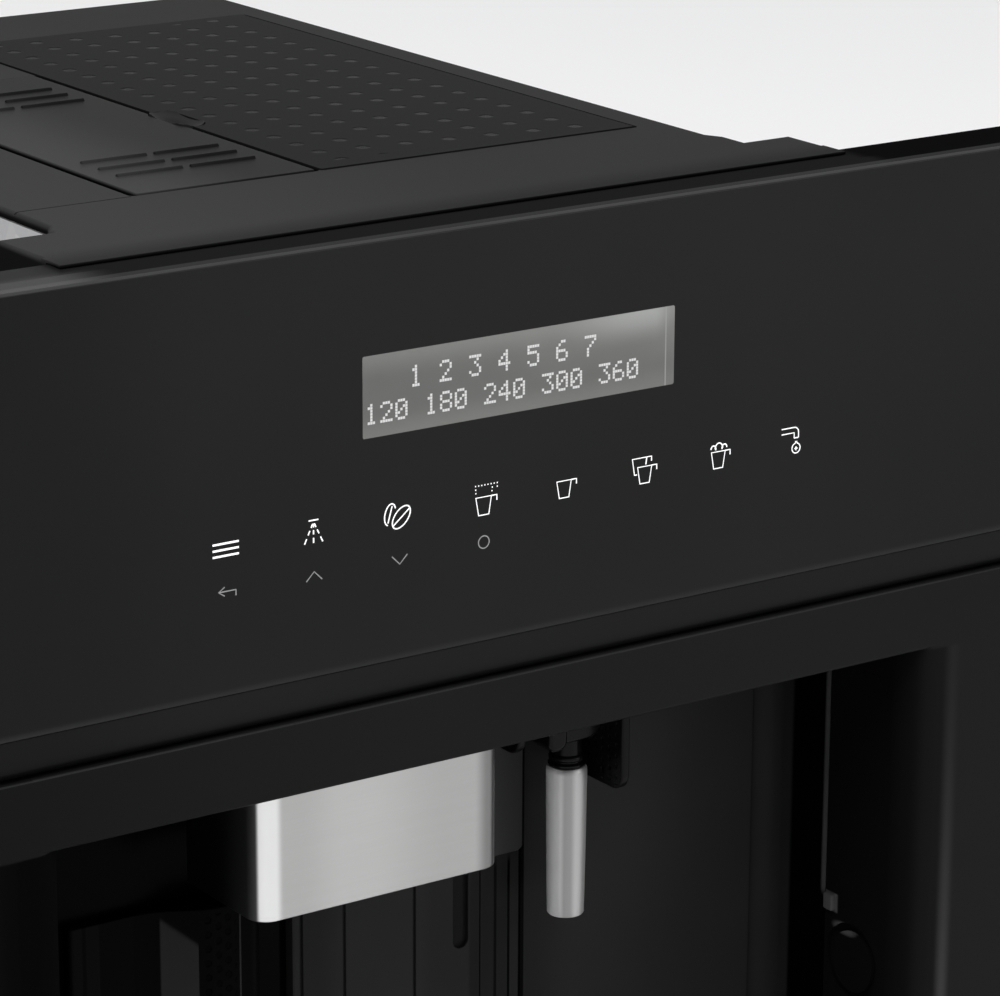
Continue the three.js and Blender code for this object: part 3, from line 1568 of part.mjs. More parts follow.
// Infuser frame: open-sided cage with the brew chamber and a coffee mouth on top.
function infuser() {
  const x0 = INFUSER_LEFT;
  const x1 = x0 + INFUSER_WIDTH;
  const y0 = INFUSER_FRONT;
  const y1 = y0 + INFUSER_DEPTH;
  const cx = infuserMiddle;
  const cy = infuserY;
  const side = new THREE.Shape();
  side.moveTo(y0, INFUSER_BASE);
  side.lineTo(y1, INFUSER_BASE);
  side.lineTo(y1, infuserTop - 30);
  side.lineTo(y1 - 30, infuserTop);
  side.lineTo(y0 + 12, infuserTop);
  side.absarc(y0 + 12, infuserTop - 12, 12, Math.PI / 2, Math.PI);
  const body = alongX(side, x0, x1, 1.5, 3);
  const window = alongX(
    rounded(cy - 40, INFUSER_BASE + 62, cy + 34, infuserTop - 14, 6),
    x0 - 1,
    x1 + 1,
  );
  const bore = cylinder(CHAMBER_RADIUS, INFUSER_BASE + 14, INFUSER_BASE + 70, 16);
  const chamber = bore.translate(cx, cy, 0);
  const mouth = cylinder(13, infuserTop - 20, infuserTop + 1, 12, 18).translate(cx, cy, 0);
  const under = box(x0 + 8, x1 - 8, y0 + 12, y1 - 12, INFUSER_BASE - 1, INFUSER_BASE + 10);
  const stem = cylinder(6 + RUN, INFUSER_BASE + 5, INFUSER_BASE + 20, 12).translate(cx, cy, 0);
  const grips = [];
  for (let i = 0; i < 4; i++) {
    const y = y0 + 6 + i * 5;
    grips.push(box(x0 - 1, x0 + 1.4, y, y + 2.4, INFUSER_BASE + 20, INFUSER_BASE + 50));
  }
  return cut(body, window, chamber, mouth, under, stem, ...grips);
}

// Piston that presses the coffee: head with two seal grooves on a stem.
function infuserPiston() {
  const low = INFUSER_BASE + 15;
  const r = CHAMBER_RADIUS - RUN;
  return turned(
    [
      [0, INFUSER_BASE + 3],
      [6, INFUSER_BASE + 3],
      [6, low],
      [r, low],
      [r, low + 3],
      [r - 1.6, low + 3],
      [r - 1.6, low + 6],
      [r, low + 6],
      [r, low + 12],
      [0, low + 12],
    ],
    14,
  ).translate(infuserMiddle, infuserY, 0);
}

// Drive beside the infuser: motor, gear case and threaded column.
function brewDrive() {
  const x0 = driveLeft;
  const y = infuserY;
  const column = [];
  const low = INFUSER_BASE + 4;
  const rings = 5;
  const pitch = 13.2;
  for (let i = 0; i < rings; i++) {
    const z = low + 22 + i * pitch;
    column.push([8, z], [6.4, z + pitch / 2]);
  }
  const end = low + 22 + rings * pitch;
  const profile = [[0, low], [8, low], ...column, [8, end], [0, end]];
  const screw = turned(profile, 8).translate(x0 + 16, y, 0);
  const caseShape = rounded(x0, y - 30, x0 + DRIVE_WIDTH, y + 30, 10);
  const gearCase = alongZ(caseShape, INFUSER_BASE, low + 8);
  const can = [[0, low], [14, low], [15, low + 3], [15, low + 52], [12, low + 56], [0, low + 56]];
  const motor = turned(can, 12).translate(x0 + 26, y + 13, 0);
  const head = alongZ(rounded(x0, y - 14, x0 + 34, y + 12, 6), low + 80, low + 92, 1);
  return join(screw, gearCase, motor, head);
}

// ---------------------------------------------------------------- water and power

// Cast heater block with fins and two screwed unions.
function thermoblock() {
  const x0 = HEATER_LEFT;
  const x1 = x0 + HEATER_WIDTH;
  const y0 = HEATER_FRONT;
  const y1 = y0 + HEATER_DEPTH;
  const low = HEATER_BASE;
  const top = low + HEATER_THICK;
  const slab = alongZ(rounded(x0, y0, x1, y1, 8), low, top);
  const fins = [];
  const count = 5;
  const pitch = (HEATER_WIDTH - 5) / count;
  for (let i = 0; i < count; i++) {
    const x = x0 + 8 + i * pitch;
    fins.push(box(x, x + 3, y0 + 8, y1 - 8, top - 1, top + 12));
  }
  const posts = [];
  for (const x of [x0 + 10, x1 - 10]) {
    for (const y of [y0 + 10, y1 - 10]) {
      posts.push(cylinder(4, deckTop, low + 2, 6).translate(x, y, 0));
    }
  }
  const union = cylinder(5, top - 1, top + 20, 8).translate(x1 - 8, y0 + 6, 0);
  return join(slab, ...fins, ...posts, union);
}

// Vibration pump on rubber-mounted cradle.
function pump() {
  const y0 = PUMP_FRONT;
  const r = COIL_RADIUS;
  const end = PUMP_LENGTH;
  const inletEnd = [[0, 0], [5, 0], [5, 12], [12, 12], [12, 26]];
  const coil = [[r, 28], [r, end - 30]];
  const outletEnd = [[12, end - 28], [12, end - 14], [5, end - 14], [5, end], [0, end]];
  const body = turned([...inletEnd, ...coil, ...outletEnd], 10)
    .rotateX(-Math.PI / 2)
    .translate(PUMP_X, y0, PUMP_LEVEL);
  const under = PUMP_LEVEL - r + 5;
  const cradle = box(PUMP_X - 14, PUMP_X + 14, y0 + 30, y0 + end - 34, beadTop + GAP, under);
  return join(body, cradle);
}

// Hose from the tank seat to the pump.
function waterHose() {
  const start = tankLeft - 2 - RUN;
  const end = PUMP_FRONT - RUN;
  return tube(
    [
      [start, hoseY, hoseZ],
      [start - 14, hoseY, hoseZ],
      [PUMP_X + 110, hoseY + 3, hoseZ + 3],
      [PUMP_X + 40, end - 18, hoseZ + 14],
      [PUMP_X + 8, end - 24, PUMP_LEVEL - 2],
      [PUMP_X, end - 10, PUMP_LEVEL],
      [PUMP_X, end, PUMP_LEVEL],
    ],
    HOSE_RADIUS,
    16,
  );
}

// Board with a transformer, a relay, a filter choke, a connector and a capacitor.
function powerBoard() {
  const y = CORE_BACK - 20;
  const x = BOARD_HALF;
  const low = BOARD_BASE;
  const high = low + BOARD_HEIGHT;
  const board = box(-x, x, y, y + 1.6, low, high);
  const parts = [
    box(12 - x, 44 - x, y - 24, y + 1, low + 20, low + 54),
    box(60 - x, 84 - x, y - 16, y + 1, low + 10, low + 30),
    box(x - 88, x - 66, y - 30, y + 1, high - 56, high - 24),
    box(x - 44, x - 12, y - 10, y + 1, low + 10, low + 18),
  ];
  const capacitor = cylinder(9, y - 28, y + 1, 10)
    .rotateX(-Math.PI / 2)
    .translate(x - 50, 0, high - 36);
  const corners = [[6 - x, low + 6], [x - 6, low + 6], [6 - x, high - 6], [x - 6, high - 6]];
  const posts = corners.map(([at, z]) =>
    cylinder(3, y + 1, CORE_BACK - GAP, 6).rotateX(-Math.PI / 2).translate(at, 0, z),
  );
  return join(board, ...parts, capacitor, ...posts);
}

// Gland where the mains lead enters, with its bending sleeve.
function mainsInlet() {
  const plate = alongY(
    rounded(INLET_X - 17, INLET_Z - 14, INLET_X + 17, INLET_Z + 14, 3),
    CORE_BACK + 1.5 + GAP,
    CORE_BACK + 4.5,
    0.6,
  );
  const body = alongY(
    rounded(INLET_X - 13.4, INLET_Z - 10.4, INLET_X + 13.4, INLET_Z + 10.4, 2),
    CORE_BACK - 16,
    CORE_BACK + 2.5,
  );
  const sleeve = turned([[0, 0], [8, 0], [7, 4], [5.6, 10], [0, 10]], 16)
    .rotateX(-Math.PI / 2)
    .translate(INLET_X, CORE_BACK + 4, INLET_Z);
  const leadHole = cylinder(3.6, CORE_BACK - 4, CORE_BACK + 20, 12)
    .rotateX(-Math.PI / 2)
    .translate(INLET_X, 0, INLET_Z);
  return cut(join(plate, body, sleeve), leadHole);
}

// Rocker of the main switch in its frame on the left side panel.
function switchFrame() {
  const x = -coreHalf;
  const rimOutline = rounded(SWITCH_Y - 13, SWITCH_Z - 10, SWITCH_Y + 13, SWITCH_Z + 10, 1.5);
  const rim = cut(
    alongX(rimOutline, x - 2, x - GAP, 0.4, 2),
    box(x - 3, x + 1, SWITCH_Y - 9, SWITCH_Y + 9, SWITCH_Z - 6, SWITCH_Z + 6),
  );
  const sleeve = cut(
    box(x - 1, x + 14, SWITCH_Y - 10.2, SWITCH_Y + 10.2, SWITCH_Z - 7.2, SWITCH_Z + 7.2),
    box(x - 2, x + 12, SWITCH_Y - 9, SWITCH_Y + 9, SWITCH_Z - 6, SWITCH_Z + 6),
  );
  return join(rim, sleeve);
}

function switchRocker() {
  const w = 9 - RUN;
  const h = 6 - RUN;
  const face = 3.4;
  const base = -5;
  const section = new THREE.Shape();
  section.moveTo(base, 2 - w);
  section.lineTo(face, -w);
  section.quadraticCurveTo(-0.4, 0, face, w);
  section.lineTo(base, w - 2);
  const outward = new THREE.Vector3(-1, 0, 0);
  const down = new THREE.Vector3(0, 0, -1);
  const turn = new THREE.Matrix4().makeBasis(outward, axisY, down);
  return extrude(section, 2 * h, 0.4, 5)
    .applyMatrix4(turn)
    .translate(-coreHalf, SWITCH_Y, SWITCH_Z + h);
}

// Seat for the tank on the chassis: low wall, valve pin and hose stub.
function tankSeat() {
  const x0 = tankLeft + 2;
  const x1 = tankRight - 2;
  const y0 = TANK_FRONT + 4;
  const y1 = tankBack - 4;
  const low = deckTop;
  const top = TANK_BASE + 8;
  const outer = alongZ(rounded(x0 - 4, y0 - 6, x1 + 4, y1 + 6, 9), low, top);
  const inner = alongZ(rounded(x0 - 2.4, y0 - 4.4, x1 + 2.4, y1 + 4.4, 8), TANK_BASE - 3, top + 1);
  const valve = cylinder(4, TANK_BASE - 4, TANK_BASE + 4, 14).translate(valveX, valveY, 0);
  const stub = cylinder(4, tankLeft - 2 + GAP, tankLeft + 8, 14)
    .rotateY(Math.PI / 2)
    .translate(0, hoseY, hoseZ);
  const hoseGate = box(x0 - 6, x0 + 4, hoseY - 12, hoseY + 12, hoseZ - 12, top + 1);
  const stubBlock = box(x0, x0 + 7, hoseY - 8, hoseY + 8, deckTop, hoseZ + 6);
  return join(cut(outer, inner, hoseGate), valve, stub, stubBlock);
}

// Clear tank with draft, rounded corners, a recessed floor and a handle ledge.
function waterTank() {
  const x0 = tankLeft;
  const x1 = tankRight;
  const y0 = TANK_FRONT;
  const y1 = tankBack;
  const t = 2.4;
  const low = TANK_BASE;
  const outer = alongZ(rounded(x0, y0, x1, y1, 10), low, tankTop, 0, 2);
  const inner = alongZ(rounded(x0 + t, y0 + t, x1 - t, y1 - t, 8), low + t, tankTop + 1, 0, 2);
  const hoseClear = alongX(
    rounded(hoseY - 14, low - 1, hoseY + 14, hoseZ + 12, 6, [0, 0, 6, 6]),
    x0 - 1,
    x0 + 16,
  );
  const hoseWall = alongX(
    rounded(hoseY - 14 - t, low, hoseY + 14 + t, hoseZ + 12 + t, 8, [0, 0, 8, 8]),
    x0 + 1,
    x0 + 16 + t,
  );
  const valveHole = cylinder(5, low - 1, low + t + 1, 16).translate(valveX, valveY, 0);
  const ledge = alongZ(rounded(x0, y0 - 6, x1, y0 + 4, 4), tankTop - 10, tankTop - 6, 0.6);
  const ledgeClear = alongZ(rounded(x0 + t, y0 + t, x1 - t, y1 - t, 8), tankTop - 12, tankTop + 1, 0, 2);
  const shell = join(cut(outer, inner), common(hoseWall, outer));
  return cut(join(shell, cut(ledge, ledgeClear)), hoseClear, valveHole);
}

// Hinged tank lid with a finger recess.
function tankLid() {
  const x0 = tankLeft;
  const x1 = tankRight;
  const y0 = TANK_FRONT;
  const y1 = tankBack;
  const low = tankTop + GAP;
  const plate = alongZ(rounded(x0, y0, x1, y1, 10), low, low + 4, 1, 3);
  const lip = cut(
    alongZ(rounded(x0 + 3.4, y0 + 3.4, x1 - 3.4, y1 - 8, 7), low - 5, low + 1),
    alongZ(rounded(x0 + 5, y0 + 5, x1 - 5, y1 - 9.6, 6), low - 6, low + 0.5),
  );
  const dish = new THREE.SphereGeometry(22, 12, 6).translate((x0 + x1) / 2, y0 + 30, low + 23.4);
  return cut(join(plate, lip), dish);
}

// ---------------------------------------------------------------- assembly

add("control_glass", controlGlass(), blackGlass);
add("panel_frame", panelFrame(), satinBlack);
add("panel_cover", panelCover(), glossBlack);
add("display_module", displayModule(), lcdBlue);
add("touch_board", touchBoard(), boardGreen);
add("front_frame", frontFrame(), glossBlack);

add("niche_liner", nicheLiner(), satinBlack);
add("niche_back_panel", nicheBackPanel(), satinBlack);
add("spout_guide", spoutGuide(), satinBlack);
add("service_door", serviceDoor(), satinBlack);

add("spout_shell", spoutShell(), brushedSteel);
add("spout_body", spoutBody(), darkGrey);
add("spout_carriage", spoutCarriage(), satinBlack);

add("hot_water_connector", hotWaterConnector(), darkGrey);
add("hot_water_holder", hotWaterHolder(), satinBlack);
add("hot_water_tube", hotWaterTube(), polishedSteel);
add("hot_water_paddle_left", leftPaddle(), satinBlack);
add("hot_water_paddle_right", rightPaddle(), satinBlack);

add("drip_tray", dripTray(), glossBlack);
add("cup_grid", cupGrid(), brushedSteel);
add("tray_float", trayFloat(), signalRed);
add("grounds_container", groundsContainer(), darkGrey);

add("chassis", chassis(), zincSheet);
add("front_bracket_right", frontBracket(), zincSheet);
add("front_bracket_left", mirrored(frontBracket()), zincSheet);
add("runner_inner_right", runnerInner(), zincSheet);
add("runner_inner_left", mirrored(runnerInner()), zincSheet);
add("runner_middle_right", runnerMiddle(), zincSheet);
add("runner_middle_left", mirrored(runnerMiddle()), zincSheet);
add("runner_outer_right", runnerOuter(), zincSheet);
add("runner_outer_left", mirrored(runnerOuter()), zincSheet);
add("runner_brace", runnerBrace(), zincSheet);

add("side_panel_right", sidePanel(1), zincSheet);
add("side_panel_left", sidePanel(-1), zincSheet);
add("rear_panel", rearPanel(), zincSheet);
add("top_cover", topCover(), satinBlack);
add("bean_lid", beanLid(), satinBlack);
add("ground_coffee_lid", groundLid(), satinBlack);

add("bean_hopper", beanHopper(), smokedClear);
add("grinder_housing", grinderHousing(), darkGrey);
add("upper_burr", upperBurr(), polishedSteel);
add("lower_burr", lowerBurr(), polishedSteel);
add("grinder_motor", grinderMotor(), zincSheet);
add("grind_knob", grindKnob(), lightGrey);
add("coffee_funnel", coffeeFunnel(), darkGrey);

add("inner_frame", innerFrame(), satinBlack);
add("infuser", infuser(), darkGrey);
add("infuser_piston", infuserPiston(), lightGrey);
add("brew_drive", brewDrive(), lightGrey);
add("thermoblock", thermoblock(), castAluminium);
add("pump", pump(), zincSheet);
add("water_hose", waterHose(), lightGrey);
add("power_board", powerBoard(), boardGreen);
add("mains_inlet", mainsInlet(), satinBlack);
add("switch_frame", switchFrame(), satinBlack);
add("switch_rocker", switchRocker(), glossBlack);

add("tank_seat", tankSeat(), darkGrey);
add("water_tank", waterTank(), smokedClear);
add("tank_lid", tankLid(), satinBlack);

const coffeeMachine = new THREE.Group();
coffeeMachine.add(machine);

export default coffeeMachine;
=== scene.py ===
"""Looks of a built in coffee machine: its finishes, printed symbols and finely shaped pieces.

Lengths are in millimetres up to the point where a mesh is made, and depths count from the control glass.
"""

import math

import bmesh
import bpy
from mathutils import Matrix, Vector


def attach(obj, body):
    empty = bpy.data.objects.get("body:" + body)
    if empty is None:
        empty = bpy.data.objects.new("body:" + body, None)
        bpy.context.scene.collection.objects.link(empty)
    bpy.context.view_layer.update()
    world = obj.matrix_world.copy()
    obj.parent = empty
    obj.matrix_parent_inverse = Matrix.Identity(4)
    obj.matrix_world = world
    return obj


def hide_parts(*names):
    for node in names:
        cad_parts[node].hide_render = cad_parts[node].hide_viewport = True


MM = 0.001
FACE = -206.0  # Y of the control glass
HALF = 297.5  # half of the front's width
TOP, GLASS_BASE, CHIN_BASE, BEAM_BASE = 458.0, 326.0, 312.5, 289.0  # heights on the front
NICHE_HALF, NICHE_BASE, NICHE_TOP = 161.0, 101.0, 308.7
SCREEN_HALF, SCREEN_LOW, SCREEN_TOP = 58.0, 397.95, 423.45
FIRST_ROW, SECOND_ROW = 371.8, 358.0  # heights of the symbols
COVER_LEFT, COVER_RIGHT, COVER_FRONT = -87.0, 4.6, 16.0  # the spout's steel cover
TUBE_X, TUBE_DEPTH = 58.7, 57.0  # axis of the hot water tube
GUIDE_FRONT, PLATE_BACK = 73.0, 77.4  # depths of the spout guide and of the service door's leaf
RIB_LEFT, RIB_BASE = 34.5, 219.0  # the guide's wide rib
GROOVE_LEFT, GROOVE_RIGHT = 23.6, 29.8  # the guide's wide groove
LINES = (-36.5, -19.8, 8.0)  # middles of the guide's thin grooves
DOOR_LEFT, DOOR_RIGHT = -123.0, -56.0
LUG_FRONT, LUG_BACK, LUG_LOW, LUG_TOP = 37.5, 42.5, 183.0, 189.0
RING_DEPTH, RING_HEIGHT = 28.25, 167.0  # middle of the ring groove on the right column
BEAN_LID = (-13, 94.5, 110.6, 349.5)  # left, front, right and back
GROUND_LID = (-80.5, 94.5, -15, 283.5)

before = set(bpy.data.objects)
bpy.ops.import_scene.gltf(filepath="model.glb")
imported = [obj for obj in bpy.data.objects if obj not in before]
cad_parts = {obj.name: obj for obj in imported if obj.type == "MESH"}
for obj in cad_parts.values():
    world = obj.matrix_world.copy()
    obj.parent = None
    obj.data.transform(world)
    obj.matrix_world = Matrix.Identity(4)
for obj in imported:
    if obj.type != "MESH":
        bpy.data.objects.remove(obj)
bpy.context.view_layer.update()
scene = bpy.context.scene


# ---------------- shader maths


class Value:
    """An output socket. Sums on it add Math nodes to its graph."""

    def __init__(self, graph, socket):
        self.graph = graph
        self.socket = socket

    def math(self, operation, *others):
        return self.graph.node("Math", {"operation": operation}, dict(enumerate((self, *others))))

    def __add__(self, other):
        return self.math("ADD", other)

    def __sub__(self, other):
        return self.math("SUBTRACT", other)

    def __rsub__(self, other):
        return self.graph.node("Math", {"operation": "SUBTRACT"}, {0: other, 1: self})

    def __mul__(self, other):
        return self.math("MULTIPLY", other)

    def __truediv__(self, other):
        return self.math("DIVIDE", other)

    def __gt__(self, other):
        return self.math("GREATER_THAN", other)

    def __lt__(self, other):
        return self.math("LESS_THAN", other)

    __radd__ = __add__
    __rmul__ = __mul__

    def between(self, low, high):
        """1 from low to high, 0 outside."""
        return (self > low) * (self < high)

    def step(self, low, high):
        """0 below low, 1 above high, smooth between."""
        sockets = {0: self, "From Min": low, "From Max": high}
        return self.graph.node("MapRange", {"interpolation_type": "SMOOTHSTEP"}, sockets)

    def fall(self, low, high):
        """1 below low, 0 above high, smooth between."""
        return 1.0 - self.step(low, high)

    def ridge(self, foot, crest, edge, end):
        """Rises from foot to crest and falls from edge to end."""
        return self.step(foot, crest) * self.fall(edge, end)


class Graph:
    """Adds nodes to one node tree and joins them."""

    def __init__(self, tree):
        self.tree = tree

    def join(self, socket, value):
        """Links a Value to the socket, or sets it. One number stands for a grey in a colour socket."""
        if isinstance(value, Value):
            self.tree.links.new(value.socket, socket)
            return
        if socket.type == "RGBA":
            value = (*(value if isinstance(value, tuple) else grey(value)), 1.0)
        socket.default_value = value

    def node(self, kind, settings=None, sockets=None, out=0):
        """A new node: first its settings, then the values or links of its sockets."""
        made = self.tree.nodes.new("ShaderNode" + kind)
        for name, value in (settings or {}).items():
            setattr(made, name, value)
        for name, value in (sockets or {}).items():
            self.join(made.inputs[name], value)
        return Value(self, made.outputs[out])

    def parts(self, vector):
        """The three parts of a vector."""
        split = self.node("SeparateXYZ", None, {0: vector}).socket.node
        return tuple(Value(self, side) for side in split.outputs)

    def blend(self, share, a, b):
        return self.node("Mix", {"data_type": "RGBA"}, {0: share, 6: a, 7: b}, 2)

    def backdrop_rays(self):
        """The kinds of ray that see the backdrop: each is 1 or 0."""
        return [self.node("LightPath", out=f"Is {word} Ray") for word in ("Camera", "Glossy", "Transmission")]


class Finish(Graph):
    """A material on one Principled shader, with Object coordinates in millimetres."""

    def __init__(self, name, color, roughness, metallic=0.0, **fixed):
        self.name = name
        self.material = bpy.data.materials.new(name)
        self.material.use_nodes = True
        super().__init__(self.material.node_tree)
        self.shader = self.tree.nodes["Principled BSDF"]
        self.set(Base_Color=color, Roughness=roughness, Metallic=metallic, **fixed)

    def set(self, **sockets):
        """Sets or links sockets of the shader. An underscore stands for a space."""
        for name, value in sockets.items():
            self.join(self.shader.inputs[name.replace("_", " ")], value)
        return self

    def surface(self, tone, roughness, normal):
        return self.set(Base_Color=tone, Roughness=roughness, Normal=normal)

    def place(self, stretch=(1, 1, 1)):
        """Object coordinates in millimetres, each axis times its stretch."""
        where = self.node("TexCoord", out="Object")
        sides = tuple(side / MM for side in stretch)
        return self.node("VectorMath", {"operation": "MULTIPLY"}, {0: where, 1: sides})

    def axes(self):
        """X, depth and Z of the point."""
        x, y, z = self.parts(self.place())
        return x, y - FACE, z

    def normal(self):
        return self.parts(self.node("NewGeometry", out="Normal"))

    def noise(self, size, detail=2, stretch=(1, 1, 1), contrast=0.5):
        """Noise from 0 to 1 with features of about that size in millimetres."""
        where = self.place(stretch)
        sockets = {"Vector": where, "Scale": 1 / size, "Detail": detail, "Roughness": contrast}
        return self.node("TexNoise", None, sockets)

    def bump(self, height, depth, under=None):
        """Raises the surface, or the bump under it, by height times depth millimetres."""
        sockets = {"Height": height, "Distance": depth * MM, "Strength": 1.0}
        if under is not None:
            sockets["Normal"] = under
        return self.node("Bump", None, sockets)


def grey(value, tint=(1.0, 1.0, 1.0)):
    """A grey, made warmer or cooler by its tint."""
    return tuple(value * t for t in tint)


def scaled(color, factor, lift=0.0):
    return tuple(c * factor + lift for c in color)


# ---------------- finishes


def glass_finish():
    """Black backed glass with a painted reflection, darker to the left and at the far right and lighter
    towards its top, and painted shade at its left end. Its ground rim is matt and a little lighter, and a
    painted highlight runs along its lower edge.
    """
    f = Finish("black_glass", 0.015, 0.04, Specular_IOR_Level=0.02, Coat_Roughness=0.03)
    x, _, z = f.axes()
    side, _, up = f.normal()
    rim = (up.math("ABSOLUTE") + side.math("ABSOLUTE")).step(0.3, 0.8)
    # Painted highlight: a light band along the lower edge of the face.
    low = z.fall(GLASS_BASE + 0.4, GLASS_BASE + 2.6)
    # Painted reflection: lighter to the right and towards the top, a little darker at the far right.
    light = x.step(-300, -20) * 0.55 + z.step(335, 440) * 0.45 - x.step(60, 200) * 0.3
    tone = f.blend(light, 0.0048, 0.0113)
    # Painted shade at the left end.
    tone = f.blend(x.fall(-172, -108) * 0.36, tone, 0.0)
    smear = f.noise(60, 3, (1, 1, 0.5)).step(0.35, 0.75)
    return f.set(
        Base_Color=f.blend(rim + low, tone, 0.02),
        Roughness=0.1 + smear * 0.06 + rim * 0.3,
        Coat_Weight=(1.0 - rim) * (0.22 - smear * 0.02),
    )


def moulding_finish(name, color, roughness, **fixed):
    """Moulded plastic with a fine spark eroded grain and slight unevenness of its gloss."""
    f = Finish(name, color, roughness, **fixed)
    fine = f.noise(0.35)
    cloud = f.noise(45, 3)
    tone = f.blend(cloud * 0.35 + fine * 0.2, color, scaled(color, 1.35, 0.001))
    gloss = roughness - 0.04 + cloud * 0.1 + fine * 0.04
    return f.surface(tone, gloss, f.bump(fine, 0.012))


def gloss_finish(name, color, roughness, **fixed):
    """Glossy moulding: hardly any grain, faint flow waves, a few fine scuffs."""
    f = Finish(name, color, roughness, **fixed)
    wave = f.noise(38, 1)
    scuff = f.noise(1.4, 2, (1, 1, 0.12)).step(0.62, 0.8)
    tone = f.blend(wave * 0.3, color, scaled(color, 1.4, 0.001))
    return f.surface(tone, roughness + wave * 0.05 + scuff * 0.07, f.bump(wave, 0.12))


def brushed_finish(name, color, roughness, run, depth=0.0012, metallic=1.0):
    """Brushed stainless steel. run stretches the grain: small along the brush, large across it."""
    f = Finish(name, color, roughness, metallic)
    grain = f.noise(1.0, 4, run, 0.7)
    broad = f.noise(7.0, 2, run)
    f.steel = f.blend(grain * 0.5 + broad * 0.3, scaled(color, 0.82), color)
    gloss = roughness - 0.05 + grain * 0.12 + broad * 0.06
    return f.surface(f.steel, gloss, f.bump(grain, depth))


def cover_steel():
    """Steel front with a painted highlight at its left corner, and painted shade across parts of its face and
    at its right corner. Behind the corners it is painted, with painted light near the front that fades into
    painted shade further back.
    """
    f = brushed_finish("steel_front", grey(0.52, (1, 0.995, 0.985)), 0.3, (0.05, 1, 2.2))
    x, depth, _ = f.axes()
    paint = depth.step(18.2, 19.4)
    # Painted highlight on the rounded left corner.
    bright = x.fall(-80.6, -77.8) * 0.85
    # Painted shade in bands across the face and at the right corner.
    painted_shade = x.ridge(-79.5, -77, -72, -55) * 0.12 + x.step(-48, -16) * 0.165
    painted_shade = painted_shade + x.ridge(-6.5, -1.2, 0.6, 3.0) * 0.4
    tone = f.blend(painted_shade, f.blend(bright, f.steel, 0.78), 0.0)
    # The painted sides: painted light near the front corner, fading into painted shade towards the back.
    near = f.blend(depth.step(18.5, 24), 0.065, 0.022)
    side = f.blend(depth.step(22, 42), near, 0.0025)
    return f.set(Base_Color=f.blend(paint, tone, side), Metallic=1.0 - paint)


def tube_finish():
    """Brushed tube with a painted highlight on its left and painted shade along its middle."""
    f = brushed_finish("steel_tube", grey(0.56, (1, 0.995, 0.99)), 0.4, (1.6, 1.6, 0.06), 0.0004, 0.6)
    x, depth, _ = f.axes()
    across = (x - TUBE_X) * 0.825 - (depth - TUBE_DEPTH) * 0.565
    # Painted highlight down its left side, and painted shade along its middle.
    left = across.fall(-4.2, -0.6)
    middle = across.ridge(-2.2, -0.4, 1.2, 3.4) * 0.36
    tone = f.blend(middle, f.blend(left, f.steel, 1.0), 0.0)
    return f.set(Base_Color=tone, Metallic=0.6 - left * 0.45)


def zinc_finish():
    """Zinc plated sheet with its crystal pattern."""
    f = Finish("zinc_sheet", 0.42, 0.36, 1.0)
    spangle = f.parts(f.node("TexVoronoi", None, {"Vector": f.place(), "Scale": 1 / 9}, "Color"))[0]
    haze = f.noise(80, 3)
    fine = f.noise(0.8, 3)
    tone = f.blend(spangle * 0.6 + haze * 0.4, grey(0.36, (1, 1.01, 1.03)), grey(0.56, (1, 1, 0.99)))
    gloss = 0.27 + spangle * 0.1 + haze * 0.12 + fine * 0.05
    return f.surface(tone, gloss, f.bump(fine, 0.004))


def rough_finish(name, tones, patch, roughness, grain, depth, metallic=0.0):
    """Two tones in patches. The noise of the grain raises the least roughness and roughens the surface."""
    f = Finish(name, tones[0], 0.45, metallic)
    rough = f.noise(*grain)
    least, more = roughness
    return f.surface(f.blend(f.noise(patch), *tones), least + rough * more, f.bump(rough, depth))


def board_finish():
    """Coated circuit board with copper runs under its lacquer."""
    f = Finish("board_green", (0.01, 0.09, 0.045), 0.35)
    x, _, z = f.axes()
    along = (x / 2.6).math("FRACT").between(0.35, 0.65)
    across = (z / 3.4).math("FRACT").between(0.4, 0.62)
    track = (along + across).math("MINIMUM", 1.0) * f.noise(14, 1).step(0.46, 0.5)
    tone = f.blend(track, (0.008, 0.075, 0.038), (0.03, 0.2, 0.08))
    return f.surface(tone, 0.38 - track * 0.12, f.bump(track, 0.04))


def clear_finish():
    """Smoke tinted clear plastic with faint drag lines from the mould."""
    f = Finish("smoked_clear", (0.55, 0.58, 0.6), 0.08, IOR=1.49, Transmission_Weight=0.85)
    drag = f.noise(2.2, 3, (1, 1, 0.05))
    frost = f.noise(30)
    tone = f.blend(frost, (0.45, 0.48, 0.5), (0.6, 0.63, 0.65))
    return f.surface(tone, 0.05 + frost * 0.08 + drag * 0.04, f.bump(drag, 0.02))


def carrier_finish(name, base, stripe):
    """Black carrier of the panel: dark on top, glossier at its left end and in a strip along the glass. Its
    chin has painted shade at its left end and towards its lower edge, and its top has painted shade at its
    right end.
    """
    f = Finish(name, base, 0.35, Specular_IOR_Level=0.0, Coat_Roughness=0.25)
    x, depth, z = f.axes()
    up = f.normal()[2].step(0.5, 0.9)
    fine = f.noise(0.5)
    end = x.fall(-158, -134)
    strip = up * (depth.fall(8.0, 9.0) * stripe + end * (0.34 - depth.step(14, 24) * 0.2))
    # Painted shade on the chin: darker at its left end and towards its lower edge.
    chin = f.blend(x.step(-172, -108), base * 0.7, base)
    chin = f.blend(z.step(CHIN_BASE + 0.1, CHIN_BASE + 6.0), base * 0.25, chin)
    # Painted shade on the top at its right end.
    top = f.blend(x.step(144, 152), 0.011, 0.004)
    f.set(Coat_Weight=strip + (1.0 - up) * 0.1)
    return f.surface(f.blend(up, chin, top), 0.3 + fine * 0.1, f.bump(fine, 0.006))


